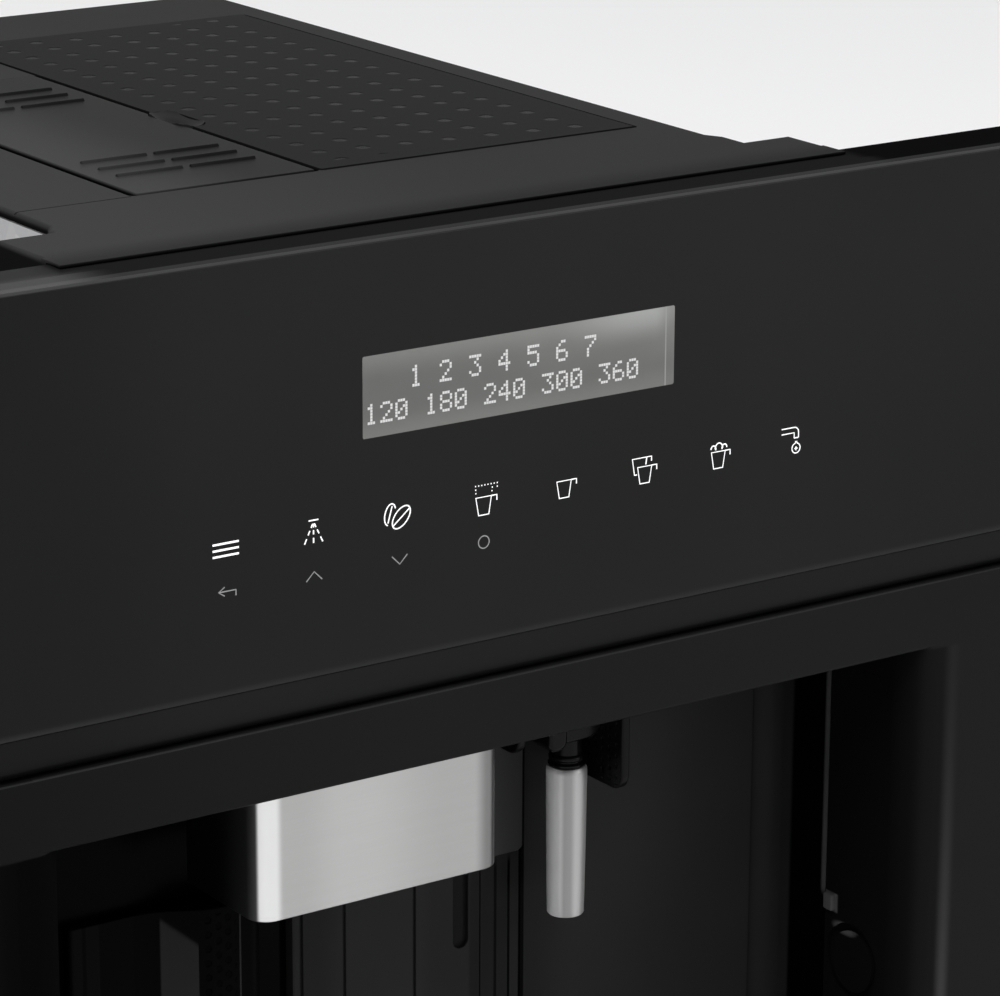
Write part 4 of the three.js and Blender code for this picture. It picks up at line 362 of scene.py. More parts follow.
def cover_finish():
    """Satin cover with painted shade: softly darker towards its front edge, on its lip and towards its right,
    and black down in its seams.
    """
    f = Finish("cover_black", 0.02, 0.45, Specular_IOR_Level=0.01)
    x, depth, z = f.axes()
    fine = f.noise(0.5)
    cloud = f.noise(60, 3)
    # Painted shade towards the front edge and on the front of the lip.
    front_shade = depth.step(24.0, 44.0) * 0.6 + 0.4
    lip = depth.step(24.5, 25.4) * 0.65 + 0.35
    # Painted shade towards the right, and painted shade that turns the seams black.
    tone = (0.55 + x.fall(-150, 60) * 0.43) * front_shade * (0.9 + cloud * 0.2) * z.step(456.0, 457.6) * lip
    return f.surface(f.blend(tone, 0.001, 0.032), 0.42 + fine * 0.06 + cloud * 0.06, f.bump(fine, 0.008))


def lid_finish():
    """Satin black lid with rows of shallow dimples inside a plain margin. The dimples carry painted light on
    the right and painted shade on the left, and painted shade turns its sides black.
    """
    f = Finish("dimpled_lid", 0.009, 0.4, Specular_IOR_Level=0.003)
    wide, long = 15.6, 14.0  # pitches of the dimples
    x, depth, z = f.axes()
    across = (x - 0.6) / wide
    column = across.math("ROUND")
    along = (depth - 117.5 + column * 2.0) / long
    u = (across - column) * wide
    v = (along - along.math("ROUND")) * long
    field = x.between(-6, 106) * depth.between(103, 344)
    dots = (u * u + v * v).math("SQRT").fall(1.3, 2.9) * field
    fine = f.noise(0.4)
    # Painted light and shade on the dimples: lit on the right, shaded on the left.
    light = x.step(-60, 60)
    tone = f.blend(dots * (light * 0.6) + fine * 0.2, 0.009, 0.03)
    tone = f.blend(dots * (1.0 - light) * 0.7, tone, 0.002)
    # Painted shade: black on the sides.
    tone = f.blend(z.fall(457.0, 458.0), tone, 0.001)
    return f.surface(tone, 0.36 + fine * 0.06 - dots * 0.12, f.bump(fine, 0.008, f.bump(dots, -0.5)))


def ground_finish():
    """Smooth satin lid with painted light at its left, and painted shade that turns its sides black."""
    f = Finish("lid_black", 0.03, 0.4, Specular_IOR_Level=0.012)
    x, _, z = f.axes()
    fine = f.noise(0.5)
    # Painted light at the left.
    tone = f.blend(x.step(-80, -30), 0.03, 0.0085)
    # Painted shade: black on the sides.
    tone = f.blend(z.fall(457.2, 458.1), tone, 0.001)
    return f.surface(tone, 0.38 + fine * 0.06, f.bump(fine, 0.008))


def screen_finish():
    """Backlit liquid crystal: cool grey with soft light towards its upper right and its edges, and a painted
    glare near its upper right.
    """
    f = Finish("display_grey", 0.13, 0.12, Emission_Strength=0.3, Coat_Weight=0.25)
    x, _, z = f.axes()
    across = (x + SCREEN_HALF) / (2 * SCREEN_HALF)
    rise = (z - (SCREEN_LOW + SCREEN_TOP) / 2) / ((SCREEN_TOP - SCREEN_LOW) / 2)
    pool = (across * 0.7 + rise * 0.5).step(0.1, 1.3)
    rim = rise.math("ABSOLUTE").step(0.35, 1.05)
    cloud = f.noise(26)
    # Painted glare: a reflection painted on the upper right of the screen.
    glare = x.ridge(10, 46, 50, 58) * rise.step(0.1, 1.0) * 0.6
    tone = f.blend(pool * 0.5 + rim * 0.35 + cloud * 0.25, (0.068, 0.07, 0.066), (0.18, 0.18, 0.17))
    tone = f.blend(x.between(54.4, 54.9), tone, (0.21, 0.21, 0.2))
    tone = f.blend(glare, tone, (0.34, 0.35, 0.34))
    return f.set(Base_Color=tone, Emission_Color=tone, Roughness=0.1 + cloud * 0.06)


def ink_finish(name, color, glow):
    """Symbol lit from behind, with the slight unevenness of a printed mask."""
    f = Finish(name, color, 0.4, Emission_Strength=glow)
    spread = f.noise(1.2)
    tone = f.blend(spread, scaled(color, 0.8), color)
    return f.set(Base_Color=tone, Emission_Color=tone, Roughness=0.35 + spread * 0.15)


def front_finish():
    """Front surround: satin, with a painted highlight along its top arris, and painted shade towards its left
    and round its inner edges.

    The right column has a painted reflection band, and the ring and the lug beside it carry painted
    highlights.
    """
    f = Finish("front_black", 0.012, 0.34, Specular_IOR_Level=0.03)
    x, depth, z = f.axes()
    fine = f.noise(0.6)
    cloud = f.noise(45, 3)
    across = x.math("ABSOLUTE")
    below = z.fall(BEAM_BASE - 0.8, BEAM_BASE + 0.2)
    # Painted highlight along the top arris.
    arris = z.step(CHIN_BASE - 0.4, CHIN_BASE - 0.1) * depth.fall(0.6, 1.6)
    # Painted shade on the left column below the beam, and round the inner edges.
    left = x.ridge(-204, -180, -150, -140) * 0.95
    inner = 1.0 - across.step(163.5, 168.5) * 0.35 - across.step(173, 179) * 0.65
    shade = (left * below + inner * below * 0.8).math("MINIMUM", 1.0)
    # Painted reflection band down the rounded right column.
    band = x.ridge(174.0, 178.2, 178.2, 182.4) * (0.93 - z.step(110, 290) * 0.83) * below
    # Painted highlights on the ring and on the lug.
    beside = depth - RING_DEPTH - 4.25
    above = z - RING_HEIGHT - 11.0
    glow = (beside * beside * 0.02 + above * above * 0.16).fall(0.1, 1.2) * x.between(150, 162)
    lug = depth.ridge(LUG_FRONT - 1.5, LUG_FRONT - 0.5, LUG_BACK + 0.5, LUG_BACK + 0.7)
    lug = lug * z.ridge(LUG_LOW - 1, LUG_LOW, LUG_TOP + 0.2, LUG_TOP + 0.6)
    # Darker towards the left as painted shade, with a random unevenness.
    tone = f.blend(x.step(-230, -20) * 0.7 + cloud * 0.15 + fine * 0.1, 0.0066, 0.0138)
    for share, value in (shade, 0.001), (band * 0.6, 0.08), (glow, 0.075), (lug, 0.07), (arris, 0.03):
        tone = f.blend(share, tone, value)
    gloss = 0.3 + cloud * 0.08 + fine * 0.04 + shade * 0.5
    return f.surface(tone, gloss, f.bump(fine, 0.006))


def niche_finish(name, patches):
    """Black moulding of the niche. patches gives the share and the tone of each lighter or darker part, most
    of them painted light and shade.
    """
    f = Finish(name, 0.001, 0.3, Specular_IOR_Level=0.02)
    wave = f.noise(38, 1)
    tone = 0.001
    for share, value in patches(*f.axes()):
        tone = f.blend(share, tone, value)
    return f.surface(f.blend(wave * 0.2, tone, 0.0), 0.26 + wave * 0.08, f.bump(wave, 0.1))


def wall_patches(x, depth, z):
    """Painted light on the right rear corner, as light as the back plate, and a painted highlight along the
    right front edge.
    """
    corner = x.step(148, 150) * depth.step(62.5, 65)
    edge = x.step(155, 156) * depth.fall(45.0, 46.6) * z.step(186, 190)
    return (corner, 0.024), (edge, 0.07)


def plate_patches(x, depth, z):
    """Painted light, lightest at its upper left, and a painted shadow line beside the guide."""
    # Painted light, raised in steps across the plate and towards its top.
    left = x.step(56, 76)
    upper = z.step(140, 290) * (left * 0.6 + 0.4)
    # A painted shadow line where the plate meets the guide.
    right, gap_shadow = x.step(95, 150), x.fall(53.8, 54.2)
    return (x.step(40, 41), 0.018), (left, 0.025), (upper, 0.039), (right, 0.031), (gap_shadow, 0.0003)


def guide_patches(x, depth, z):
    """Painted light and shade: the flat field lighter in parts, painted shade in the groove, the darker
    strips on the right of it, painted light on the rib and a painted shadow line on its right edge.
    """
    under_rib = z.fall(RIB_BASE - 5, RIB_BASE)
    seams = x.between(45.8, 46.8) + x.between(40.2, 41.4) * 0.8
    return (
        # The field painted lighter in parts, with a painted highlight beside the first thin groove.
        (x.step(-44, -42), 0.024),
        (x.between(LINES[0] - 2.7, LINES[0] - 0.9), 0.029),
        (x.step(-31, -18), 0.03),
        (x.step(10, 16), 0.026),
        # Painted shade in the groove.
        (x.between(GROOVE_LEFT - 0.2, GROOVE_RIGHT + 0.2) * depth.step(73.3, 74.2), 0.012),
        (x.step(29.5, 31), 0.017),
        (x.step(37.5, 39), 0.018),
        (x.step(46.8, 47.4) * under_rib, 0.022),
        (seams * under_rib, 0.0005),
        # Painted light on the rib's front.
        (depth.fall(72.2, 72.6), 0.05),
        # Painted shadow line on the right edge.
        (x.step(50.6, 50.9), 0.0003),
    )


def door_patches(x, depth, z):
    """Nearly black leaf with two faint bars at its hinge and a painted patch of light beside the grip, cut
    off by a painted shadow edge.
    """
    bars = x.between(-122.6, -118.2) + x.between(-116.8, -112.0)
    # The edge of a painted shadow that cuts off the painted patch of light.
    slope = (228.0 - z) * 1.15 - (x + 91.5)
    return (bars, 0.004), (x.ridge(-91.2, -90.4, -79, -77) * slope.step(0.0, 3.0), 0.034)


def dimpled_finish(name, base, gloss, layout, wide, high, size):
    """Black moulding with staggered dimples, painted darker inside as shade. wide and high are their pitches,
    and layout says where, and where a painted highlight line runs.
    """
    f = Finish(name, base, 0.3, Specular_IOR_Level=gloss)
    along, z, band, line = layout(*f.axes())
    dots = 0.0
    for shift in (0.0, 0.5):
        a = ((along / wide + shift).math("FRACT") - 0.5) * wide
        b = ((z / high + shift).math("FRACT") - 0.5) * high
        dots = (a * a + b * b).math("SQRT").fall(size * 0.5, size) + dots
    dots = dots * band
    # Painted shade in the dimples and a painted highlight along the line.
    tone = f.blend(line, f.blend(dots, base, base * 0.6), 0.03)
    return f.surface(tone, 0.26 + f.noise(30) * 0.08 - dots * 0.08, f.bump(dots, -0.35))


def grip_layout(x, depth, z):
    """Dimples along X, and one painted highlight line beside them."""
    return x, z, x.between(-78, -67) * z.between(153, 227), x.between(-66, -65.4)


def paddle_layout(x, depth, z):
    """Dimples along the depth, on the right paddle only."""
    return depth, z, x.between(60, 71) * depth.between(43.5, 62) * z.between(247, 273), 0.0


FINISHES = (
    glass_finish(),
    gloss_finish("gloss_black", grey(0.006), 0.16, Specular_IOR_Level=0.25),
    gloss_finish("holder_black", grey(0.004), 0.2, Specular_IOR_Level=0.1),
    carrier_finish("panel_gloss", 0.004, 0.0),
    carrier_finish("carrier_black", 0.014, 0.12),
    moulding_finish("satin_black", grey(0.012), 0.4, Specular_IOR_Level=0.25),
    moulding_finish("dark_grey", grey(0.035, (1, 1.02, 1.06)), 0.45),
    moulding_finish("light_grey", grey(0.3, (0.99, 1, 1.02)), 0.42),
    moulding_finish("signal_red", (0.5, 0.02, 0.012), 0.35),
    cover_finish(),
    lid_finish(),
    ground_finish(),
    niche_finish("wall_black", wall_patches),
    niche_finish("plate_gloss", plate_patches),
    niche_finish("guide_gloss", guide_patches),
    niche_finish("door_black", door_patches),
    dimpled_finish("grip_black", 0.003, 0.01, grip_layout, 7.0, 5.0, 1.5),
    dimpled_finish("paddle_black", 0.005, 0.08, paddle_layout, 8.0, 3.6, 1.1),
    front_finish(),
    cover_steel(),
    tube_finish(),
    brushed_finish("steel_grid", grey(0.56), 0.32, (0.05, 2.2, 1)),
    brushed_finish("steel_burr", grey(0.6), 0.2, (1, 1, 0.3)),
    zinc_finish(),
    rough_finish("cast_aluminium", (0.4, 0.58), 24, (0.38, 0.2), (0.9, 5, (1, 1, 1), 0.65), 0.12, 1.0),
    board_finish(),
    clear_finish(),
    screen_finish(),
    ink_finish("dot_white", grey(0.62, (1, 1, 0.99)), 0.35),
    ink_finish("ink_white", grey(0.9), 0.75),
    ink_finish("ink_grey", grey(0.3), 0.25),
    rough_finish("hose_rubber", (0.16, 0.26), 12, (0.42, 0.16), (0.6, 3), 0.03),
)
MATERIAL = {finish.name: finish.material for finish in FINISHES}


# ---------------- modelling


def named(piece, name):
    """Gives the piece and its mesh their name."""
    piece.name = name
    piece.data.name = name
    return piece


def start(name, kind, **settings):
    """Adds a primitive."""
    bpy.ops.object.select_all(action="DESELECT")
    getattr(bpy.ops.mesh, f"primitive_{kind}_add")(**settings)
    return named(bpy.context.object, name)


def hold(*pieces):
    """Makes the pieces the only selected ones and the first of them the active one."""
    bpy.ops.object.select_all(action="DESELECT")
    for piece in pieces:
        piece.select_set(True)
    bpy.context.view_layer.objects.active = pieces[0]


def settle(piece):
    """Puts the piece's place, turn and size into its mesh."""
    hold(piece)
    bpy.ops.object.transform_apply(location=True, rotation=True, scale=True)
    return piece


def everything(part):
    return True


def choose(piece, kind, test):
    """In edit mode, selects the faces, edges or verts for which the test holds."""
    mesh = bmesh.from_edit_mesh(piece.data)
    bpy.ops.mesh.select_mode(type={"faces": "FACE", "edges": "EDGE", "verts": "VERT"}[kind])
    bpy.ops.mesh.select_all(action="DESELECT")
    for part in getattr(mesh, kind):
        part.select_set(bool(test(part)))
    mesh.select_flush_mode()
    bmesh.update_edit_mesh(piece.data)


def editing(piece, kind, test, work):
    """Does the work in edit mode on the chosen faces, edges or verts."""
    hold(piece)
    bpy.ops.object.mode_set(mode="EDIT")
    choose(piece, kind, test)
    work()
    bpy.ops.object.mode_set(mode="OBJECT")
    return piece


def drop_faces(piece, test):
    editing(piece, "faces", test, lambda: bpy.ops.mesh.delete(type="FACE"))


def round_edges(piece, test, radius):
    """Rounds only the edges for which the test holds."""
    settings = {"offset": radius * MM, "segments": 4, "affect": "EDGES"}
    editing(piece, "edges", test, lambda: bpy.ops.mesh.bevel(**settings))


def block(name, x0, x1, y0, y1, z0, z1):
    """A box between two corners; depths from the glass."""
    middle = Vector(((x0 + x1) / 2, (y0 + y1) / 2 + FACE, (z0 + z1) / 2)) * MM
    size = Vector((x1 - x0, y1 - y0, z1 - z0)) * MM
    return settle(start(name, "cube", size=1, location=middle, scale=size))


def modify(piece, kind, **settings):
    """Adds a modifier and applies it."""
    hold(piece)
    step = piece.modifiers.new(kind.lower(), kind)
    for key, value in settings.items():
        setattr(step, key, value)
    bpy.ops.object.modifier_apply(modifier=step.name)
    return piece


def ease(piece, width, segments=3, angle=35):
    """Rounds every edge sharper than the angle."""
    sizes = {"width": width * MM, "segments": segments}
    return modify(piece, "BEVEL", limit_method="ANGLE", angle_limit=math.radians(angle), **sizes)


def carve(piece, *tools):
    """Cuts the tools out of the piece."""
    for tool in tools:
        modify(piece, "BOOLEAN", operation="DIFFERENCE", object=tool, solver="EXACT")
        bpy.data.objects.remove(tool)
    return piece


def fuse(name, *parts):
    """Joins separate bodies into one piece."""
    hold(*parts)
    bpy.ops.object.join()
    return named(bpy.context.object, name)


def tidy(piece):
    """Merges doubles and turns the faces outwards."""

    def work():
        bpy.ops.mesh.remove_doubles(threshold=1e-6)
        bpy.ops.mesh.normals_make_consistent(inside=False)

    return editing(piece, "verts", everything, work)


def chained(name, spots, close):
    """A chain of edges, drawn from spot to spot, from which close makes faces."""
    piece = settle(start(name, "plane", size=MM, location=spots[0]))

    def work():
        bpy.ops.mesh.merge(type="CENTER")
        for a, b in zip(spots, spots[1:]):
            bpy.ops.mesh.extrude_vertices_move(TRANSFORM_OT_translate={"value": b - a})
        bpy.ops.mesh.select_all(action="SELECT")
        close()

    return editing(piece, "verts", everything, work)


def drawn(name, points, along):
    """A closed outline of (x, depth, z) points, extruded by a vector in millimetres."""
    spots = [Vector((x, y + FACE, z)) * MM for x, y, z in points]
    piece = chained(name, spots, bpy.ops.mesh.edge_face_add)
    shift = {"value": Vector(along) * MM}
    extrude = bpy.ops.mesh.extrude_region_move
    editing(piece, "faces", everything, lambda: extrude(TRANSFORM_OT_translate=shift))
    return tidy(piece)


def spun(name, profile, centre, axis=(0, 0, 1), steps=48):
    """A turned piece: profile of (radius, height) corners spun round the axis through centre."""
    cx, cy, cz = centre
    middle = Vector((cx, cy + FACE, cz))
    line = Vector(axis)
    out = Vector((1, 0, 0)) if abs(line.x) < 0.5 else Vector((0, 1, 0))
    spots = [(middle + out * r + line * h) * MM for r, h in profile]
    turn = {"steps": steps, "angle": math.tau, "center": middle * MM, "axis": line}
    return tidy(chained(name, spots, lambda: bpy.ops.mesh.spin(**turn)))


def rod(name, radius, length, centre, axis, steps):
    """A round rod that starts at centre."""
    return spun(name, [(0.01, 0), (radius, 0), (radius, length), (0.01, length)], centre, axis, steps)


def arc(cx, cy, rx, ry, start_deg, end_deg, steps=8):
    """Points on part of an ellipse."""
    turns = [math.radians(start_deg + (end_deg - start_deg) * i / steps) for i in range(steps + 1)]
    return [(cx + rx * math.cos(t), cy + ry * math.sin(t)) for t in turns]


def box_outline(x0, y0, x1, y1, radii, steps=8):
    """A rounded rectangle: one radius, or four from the lower left, anticlockwise."""
    radii = radii if isinstance(radii, tuple) else (radii,) * 4
    corners = (x0, y0, 1, 1, 180), (x1, y0, -1, 1, 270), (x1, y1, -1, -1, 0), (x0, y1, 1, -1, 90)
    points = []
    for (x, y, sx, sy, at), r in zip(corners, radii):
        points += arc(x + sx * r, y + sy * r, r, r, at, at + 90, steps) if r else [(x, y)]
    return points


def upright(points, y):
    """Puts (x, z) points at a depth."""
    return [(x, y, z) for x, z in points]


def sideways(points, x):
    """Puts (depth, z) points at an x."""
    return [(x, y, z) for y, z in points]


def slab(name, outline, z, height):
    """An outline in plan, extruded upwards."""
    return drawn(name, [(x, y, z) for x, y in outline], (0, 0, height))


def pane(name, outline, depth, thickness):
    """An outline seen from the front, extruded backwards."""
    return drawn(name, upright(outline, depth), (0, thickness, 0))


def bar(name, section, x, length):
    """A section seen from the side, extruded to the right."""
    return drawn(name, sideways(section, x), (length, 0, 0))


def place_piece(piece, finish, body, slot, *stands_for, smooth=30):
    """Gives a finished piece its material, shading, body and the nodes it stands for."""
    piece.data.materials.clear()
    piece.data.materials.append(MATERIAL[finish])
    hold(piece)
    bpy.ops.object.shade_smooth_by_angle(angle=math.radians(smooth))
    modify(piece, "WEIGHTED_NORMAL", keep_sharp=True)
    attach(piece, body)
    if stands_for:
        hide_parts(*stands_for)


def copied(piece, name, shift):
    """A copy with its own mesh, moved by millimetres."""
    hold(piece)
    bpy.ops.object.duplicate(linked=False)
    made = named(bpy.context.object, name)
    bpy.ops.transform.translate(value=Vector(shift) * MM)
    return settle(made)


def strokes(name, lines, width, grow=1.0):
    """Flat printed strokes on the glass, each line a list of (x, z) points, grown about their middle."""
    lift = 0.05
    spots = [spot for line in lines for spot in line]
    cx, cz = ((min(s[i] for s in spots) + max(s[i] for s in spots)) / 2 for i in (0, 1))
    ink = bpy.data.curves.new(name, "CURVE")
    ink.dimensions = "3D"
    ink.bevel_depth = width / 2 * MM
    ink.bevel_resolution = 1
    ink.use_fill_caps = True
    for line in lines:
        closed = math.dist(line[0], line[-1]) < 1e-6
        path = line[:-1] if closed else line
        spline = ink.splines.new("POLY")
        spline.points.add(len(path) - 1)
        for point, (x, z) in zip(spline.points, path):
            point.co = ((cx + (x - cx) * grow) * MM, 0, (cz + (z - cz) * grow) * MM, 1)
        spline.use_cyclic_u = closed
    piece = bpy.data.objects.new(name, ink)
    scene.collection.objects.link(piece)
    hold(piece)
    bpy.ops.object.convert(target="MESH")
    piece = named(bpy.context.object, name)
    piece.scale.y = 2 * lift / width
    piece.location.y = FACE * MM
    return settle(piece)


# ---------------- control panel


def control_glass():
    """Glass pane with round corners and eased edges."""
    piece = block("panel_glass", -HALF, HALF, 0, 4, GLASS_BASE, TOP)

    def runs_back(edge):
        a, b = (v.co / MM for v in edge.verts)
        return abs(a.y - b.y) > 3

    round_edges(piece, runs_back, 1.5)
    ease(piece, 0.45, 3)
    place_piece(piece, "black_glass", "appliance", "black_glass", "control_glass")


def panel_carrier():
    """Holds the glass. Its lower edge is the convex chin, and it is open behind."""
    front, inside, back = 4.3, 6.3, 15.7
    top, chin_top, low = TOP - 0.3, GLASS_BASE - 0.06, CHIN_BASE + 0.3
    section = [(front, top), (front, chin_top), (1.2, chin_top)]
    section += arc(3.5, chin_top, 3.2, 12.6, 180, 262, 16)
    section += [(3.9, low), (back, low), (back, 316.5), (inside, 316.5)]
    section += [(inside, 331.0), (inside, 452.0), (back, 452.0), (back, top)]
    piece = bar("panel_carrier", section, 0.3 - HALF, 2 * HALF - 0.6)
    side, play = SCREEN_HALF + 0.2, 0.25
    window = block("window_tool", -side, side, 3, 8, SCREEN_LOW - play, SCREEN_TOP + play)
    keys = block("keys_tool", -122, 122, 3, 8, 364, 379)
    carve(piece, window, keys)
    ease(piece, 0.35, 2, 50)
    place_piece(piece, "carrier_black", "appliance", "satin_black", "panel_frame")


def rear_cover():
    """Glossy tray behind the panel, with eased rims. It is ribbed inside and has two pads behind."""
    piece = pane("panel_rear_cover", box_outline(1 - HALF, 312.8, HALF - 1, 456.8, 3, 4), 16.3, 16.7)
    bay_width, bay_pitch = 95.9, 98.42
    for i in range(6):
        left = -294 + i * bay_pitch
        carve(piece, block("bay_tool", left, left + bay_width, 15, 30.5, 315.3, 454.3))
    parts = [ease(piece, 0.9, 3, 50)]
    for left in (-293.5, 282.5):
        pad = pane("stop_pad", box_outline(left, 338, left + 11, 446, 2, 4), 32.5, 1.3)
        parts.append(ease(pad, 0.3, 2, 50))
    piece = fuse("panel_rear_cover", *parts)
    place_piece(piece, "panel_gloss", "appliance", "gloss_black", "panel_cover")


# Seven rows of five dots. In each row the lowest bit is the dot on the right.
DIGITS = {
    "0": (14, 17, 19, 21, 25, 17, 14),
    "1": (4, 12, 4, 4, 4, 4, 14),
    "2": (14, 17, 1, 2, 4, 8, 31),
    "3": (31, 2, 4, 2, 1, 17, 14),
    "4": (2, 6, 10, 18, 31, 2, 2),
    "5": (31, 16, 30, 1, 1, 17, 14),
    "6": (6, 8, 16, 30, 17, 17, 14),
    "7": (31, 1, 2, 4, 8, 8, 8),
    "8": (14, 17, 17, 14, 17, 17, 14),
    " ": (0, 0, 0, 0, 0, 0, 0),
}


def dot_line(name, text, x0, z_top, z_low):
    """One line of plain dot matrix numbers, each five dots wide with a column between them."""
    rows, columns = 7, len(text) * 6
    pitch_x = 0.896
    pitch_z = (z_top - z_low) / rows
    width = columns * pitch_x
    middle = Vector((x0 + width / 2, FACE - 0.1, (z_top + z_low) / 2)) * MM
    piece = start(name, "grid", x_subdivisions=columns, y_subdivisions=rows, size=1, location=middle)
    piece.rotation_euler.x = math.pi / 2
    piece.scale = (width * MM, (z_top - z_low) * MM, 1)
    settle(piece)

    def unlit(face):
        spot = face.calc_center_median() / MM
        column = int((spot.x - x0) / pitch_x)
        row = int((z_top - spot.z) / pitch_z)
        across = column % 6
        return across == 5 or not DIGITS[text[column // 6]][row] >> (4 - across) & 1

    def shrink():
        bpy.ops.mesh.inset(use_individual=True, thickness=0.06 * MM)
        bpy.ops.mesh.select_all(action="INVERT")
        bpy.ops.mesh.delete(type="FACE")
        bpy.ops.mesh.select_all(action="SELECT")
        bpy.ops.mesh.extrude_region_move(TRANSFORM_OT_translate={"value": (0, -0.04 * MM, 0)})

    drop_faces(piece, unlit)
    return editing(piece, "faces", everything, shrink)


def display():
    """Screen with two lines of numbers."""
    outline = box_outline(-SCREEN_HALF, SCREEN_LOW, SCREEN_HALF, SCREEN_TOP, 0.6, 3)
    screen = pane("display_screen", outline, -0.08, 0.1)
    place_piece(screen, "display_grey", "appliance", "display_blue")
    sizes = dot_line("display_line_2", "120 180 240 300 360", -57.2, 408.6, 402.1)
    scale = dot_line("display_line_1", "1 2 3 4 5 6 7", -41.2, 418.4, 411.6)
    for line in (sizes, scale):
        place_piece(line, "dot_white", "appliance", "light_grey")


def moved(lines, x, z):
    """The lines, with their origin put at (x, z)."""
    return [[(x + a, z + b) for a, b in line] for line in lines]


def turned_oval(x, z, rx, rz, degrees):
    """A closed oval round (x, z), turned anticlockwise."""
    turn = math.radians(degrees)
    points = []
    for a, b in arc(0, 0, rx, rz, 0, 360, 28)[:-1]:
        px, pz = a * math.cos(turn) - b * math.sin(turn), a * math.sin(turn) + b * math.cos(turn)
        points.append((x + px, z + pz))
    return points + points[:1]


def cup_lines(x, z):
    """A cup with its straight handle to the upper right."""
    body = [(-2.7, 2.4), (2.3, 2.4), (1.5, -2.6), (-1.8, -2.6), (-2.7, 2.4)]
    handle = [(2.3, 2.4), (4.1, 2.4), (4.1, 0.9)]
    return moved([body, handle], x, z)


def spray_lines():
    """Three dashed jets that spread downwards from a nozzle."""
    lines = [[(-1.6, 3.6), (1.6, 3.6)]]
    for lean in (-2.4, 0.0, 2.4):
        for ends in ((2.6, 1.5), (0.7, -0.5), (-1.5, -3.0)):
            lines.append([(lean * (3.2 - z) / 5.0, z) for z in ends])
    return lines


def bean_lines():
    """A bean before a second one that it half hides."""
    front = turned_oval(1.0, -0.4, 2.2, 3.7, -42)
    rear = turned_oval(-2.7, 0.9, 1.7, 3.1, -14)[1:22]
    rear = [(x, z) for x, z in rear if (x - 1.0) ** 2 + (z + 0.4) ** 2 > 9.4]
    return [front, [(-1.7, -2.6), (3.7, 1.8)], rear, [(-3.4, -1.5), (-2.0, 3.3)]]


def dotted_cup_lines():
    """A cup with the dotted outline of a larger one."""
    dots = [(-2.8 + i, 4.1) for i in range(8)]
    dots += [(-2.75, 3.1), (-2.7, 2.1), (2.6, 3.1), (2.5, 2.1), (4.2, 3.1)]
    return cup_lines(0, -1.6) + [[(x - 0.16, z), (x + 0.16, z)] for x, z in dots]


def two_cup_lines():
    """A cup before a second one."""
    rear = [(-2.5, -1.4), (-3.4, -1.4), (-4.2, 3.4), (2.6, 3.4), (2.6, 2.0)]
    return cup_lines(0.4, -1.7) + [rear, [(0.9, 3.4), (0.6, 1.2)]]


def froth_lines():
    """A cup under three bubbles of froth."""
    bubbles = (-2.0, 0.9, 180, -20), (0.0, 1.4, 180, 0), (2.0, 0.9, 200, 0)
    return cup_lines(0, -1.5) + [arc(x, 1.8, r, r * 1.2, begin, end) for x, r, begin, end in bubbles]


def tap_lines():
    """A tap over a drop with a plus sign in it."""
    spout = [(-4.2, 3.8), (0.4, 3.8)] + arc(0.4, 2.2, 1.6, 1.6, 90, 0, 6) + [(2.0, 0.6)]
    drop = [(1.0, -0.4), (0.9, -1.0)] + arc(1.2, -2.5, 1.5, 1.5, 125, 415, 16) + [(1.5, -1.0), (1.4, -0.4)]
    throat = [(-4.2, 2.2), (0.4, 2.2), (0.4, 0.6)]
    mouth = [(0.4, 0.6), (2.0, 0.6)]
    return [spout, throat, mouth, drop, [(1.2, -3.2), (1.2, -2.0)], [(0.6, -2.6), (1.8, -2.6)]]


def symbols():
    """Generic touch symbols in two rows."""
    bars = [[(-4.5, z), (4.5, z)] for z in (1.9, 0.0, -1.9)]
    first_row = (
        ("symbol_list", -106.1, bars, 0.75, 1.0),
        ("symbol_rinse", -75.6, spray_lines(), 0.5, 1.08),
        ("symbol_beans", -45.4, bean_lines(), 0.5, 1.1),
        ("symbol_cup_size", -13.8, dotted_cup_lines(), 0.5, 1.15),
        ("symbol_one_cup", 16.4, cup_lines(0, -1.5), 0.5, 1.1),
        ("symbol_two_cups", 47.0, two_cup_lines(), 0.5, 1.1),
        ("symbol_froth", 76.6, froth_lines(), 0.5, 1.1),
        ("symbol_hot_water", 106.5, tap_lines(), 0.45, 1.12),
    )
    for name, x, lines, width, grow in first_row:
        piece = strokes(name, moved(lines, x, FIRST_ROW), width, grow)
        place_piece(piece, "ink_white", "appliance", "light_grey")

    back = [[(3.0, -1.0), (3.0, 0.8), (-3.0, 0.8)], [(-0.9, 2.2), (-3.0, 0.8), (-0.9, -0.6)]]
    up, down = [(-2.8, -1.3), (0.0, 1.5), (2.8, -1.3)], [(-2.8, 1.3), (0.0, -1.5), (2.8, 1.3)]
    ring = arc(0, 0.2, 2.0, 2.0, 0, 345, 20)
    second_row = ((-105.8, back), (-75.5, [up]), (-44.9, [down]), (-14.0, [ring + ring[:1]]))
    lines = [line for x, shape in second_row for line in moved(shape, x, SECOND_ROW)]
    place_piece(strokes("symbols_second_row", lines, 0.42), "ink_grey", "appliance", "dark_grey")


# ---------------- front surround and niche


